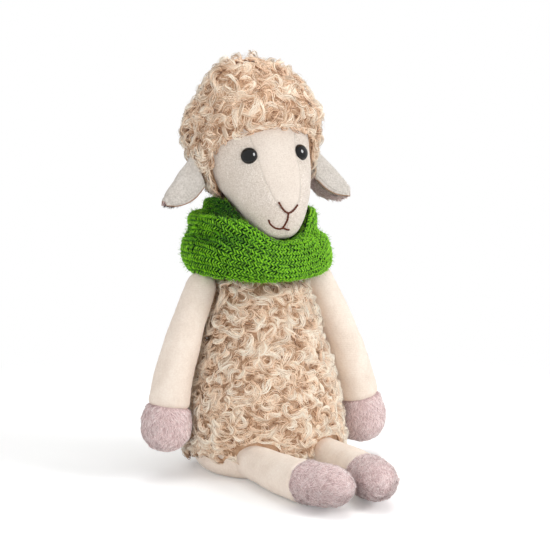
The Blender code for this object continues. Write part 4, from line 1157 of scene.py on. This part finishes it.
innerTones = {"stuffing": ((225, 224, 222), (246, 246, 244)), "washer": ((205, 205, 202), (222, 222, 219)),
              "granule": ((206, 200, 186), (228, 222, 208))}
for key, tones in innerTones.items():
    made = backingMaterial("inner " + key, tones, 0.002)
    for name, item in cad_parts.items():
        if key in name:
            item.data.materials.clear()
            item.data.materials.append(made)


# Floor, light and camera

stage = {"floorSize": 3.0, "floorTone": (250, 250, 250), "floorGlow": 0.15, "fade": (0.17, 0.34), "worldStrength": 0.52,
         "lamps": (("key", 7.8, 0.6, (0.82, -0.80, 0.75), False), ("window", 30, 0.75, (0.72, -0.95, 0.80), True),
                   ("fill", 4.9, 0.9, (-1.05, -0.85, 0.4), False), ("top", 5.0, 0.8, (0.15, 0.10, 1.2), False)),
         "lampTarget": (0, 0, 0.11)}


def directRays(tree):  # 1 for what the camera sees itself, or in something shiny or clear
    rays = addNode(tree, "ShaderNodeLightPath").outputs
    shiny = addNode(tree, "ShaderNodeMath", rays["Is Glossy Ray"], rays["Is Transmission Ray"], operation="MAXIMUM")
    return addNode(tree, "ShaderNodeMath", rays["Is Camera Ray"], shiny.outputs[0], operation="MAXIMUM").outputs[0]


def makeFloor():  # pale near the object, white further out, and plain for the light that it throws back
    made, tree, shader = newMaterial("pale floor", stage["floorTone"], 0.9)
    glow = addNode(tree, "ShaderNodeEmission", Color=(1, 1, 1, 1), Strength=stage["floorGlow"])
    white = addNode(tree, "ShaderNodeEmission", Color=(1, 1, 1, 1), Strength=1.0)
    place = addNode(tree, "ShaderNodeTexCoord").outputs["Object"]
    away = addNode(tree, "ShaderNodeVectorMath", place, operation="LENGTH").outputs["Value"]
    fade = addNode(tree, "ShaderNodeMapRange", away, *stage["fade"], interpolation_type="SMOOTHSTEP")
    near = addNode(tree, "ShaderNodeAddShader", shader.outputs[0], glow.outputs[0])
    seen = addNode(tree, "ShaderNodeMixShader", fade.outputs["Result"], near.outputs[0], white.outputs[0])
    choose = addNode(tree, "ShaderNodeMixShader", directRays(tree), shader.outputs[0], seen.outputs[0])
    feed(tree, tree.nodes["Material Output"].inputs["Surface"], choose.outputs[0])
    half = stage["floorSize"] / 2
    corners = np.array(((-half, -half, 0), (half, -half, 0), (half, half, 0), (-half, half, 0)))
    floor = makeMesh("floor", corners, np.array(((0, 1, 2, 3),)), made)


def makeWorld():
    world = bpy.data.worlds.new("studio")
    bpy.context.scene.world = world
    world.use_nodes = True
    tree = world.node_tree
    sky = tree.nodes["Background"]
    sky.inputs["Color"].default_value = (1, 1, 1, 1)
    sky.inputs["Strength"].default_value = stage["worldStrength"]
    white = addNode(tree, "ShaderNodeBackground", Color=(1, 1, 1, 1), Strength=1.0)
    choose = addNode(tree, "ShaderNodeMixShader", directRays(tree), sky.outputs[0], white.outputs[0])
    feed(tree, tree.nodes["World Output"].inputs["Surface"], choose.outputs[0])


def addLamp(name, power, size, place, reflectionOnly):
    lamp = bpy.data.lights.new(name, "AREA")
    lamp.energy = power
    lamp.shape = "DISK"
    lamp.size = size
    made = bpy.data.objects.new(name, lamp)
    made.location = place
    made.visible_glossy = reflectionOnly
    made.visible_diffuse = not reflectionOnly
    made.rotation_euler = (Vector(stage["lampTarget"]) - Vector(place)).to_track_quat("-Z", "Y").to_euler()
    bpy.context.collection.objects.link(made)


makeFloor()
makeWorld()
for lamp in stage["lamps"]:
    addLamp(*lamp)

view = {"azimuth": radians(-26), "elevation": radians(10), "distance": 1.6, "target": (0, 0, 0.120), "lens": 178.04,
        "shiftX": 0.0153, "shiftY": -0.0131}
cameraData = bpy.data.cameras.new("camera")
camera = bpy.data.objects.new("camera", cameraData)
bpy.context.collection.objects.link(camera)
azimuth, elevation = view["azimuth"], view["elevation"]
back = Vector((sin(azimuth) * cos(elevation), -cos(azimuth) * cos(elevation), sin(elevation)))
camera.location = Vector(view["target"]) + back * view["distance"]
camera.rotation_euler = back.to_track_quat("Z", "Y").to_euler()
cameraData.lens = view["lens"]
cameraData.sensor_width = 36
cameraData.shift_x = view["shiftX"]
cameraData.shift_y = view["shiftY"]
cameraData.clip_start = 0.05
bpy.context.scene.camera = camera
bpy.context.scene.view_settings.view_transform = "Standard"
print("stage, light and camera made")
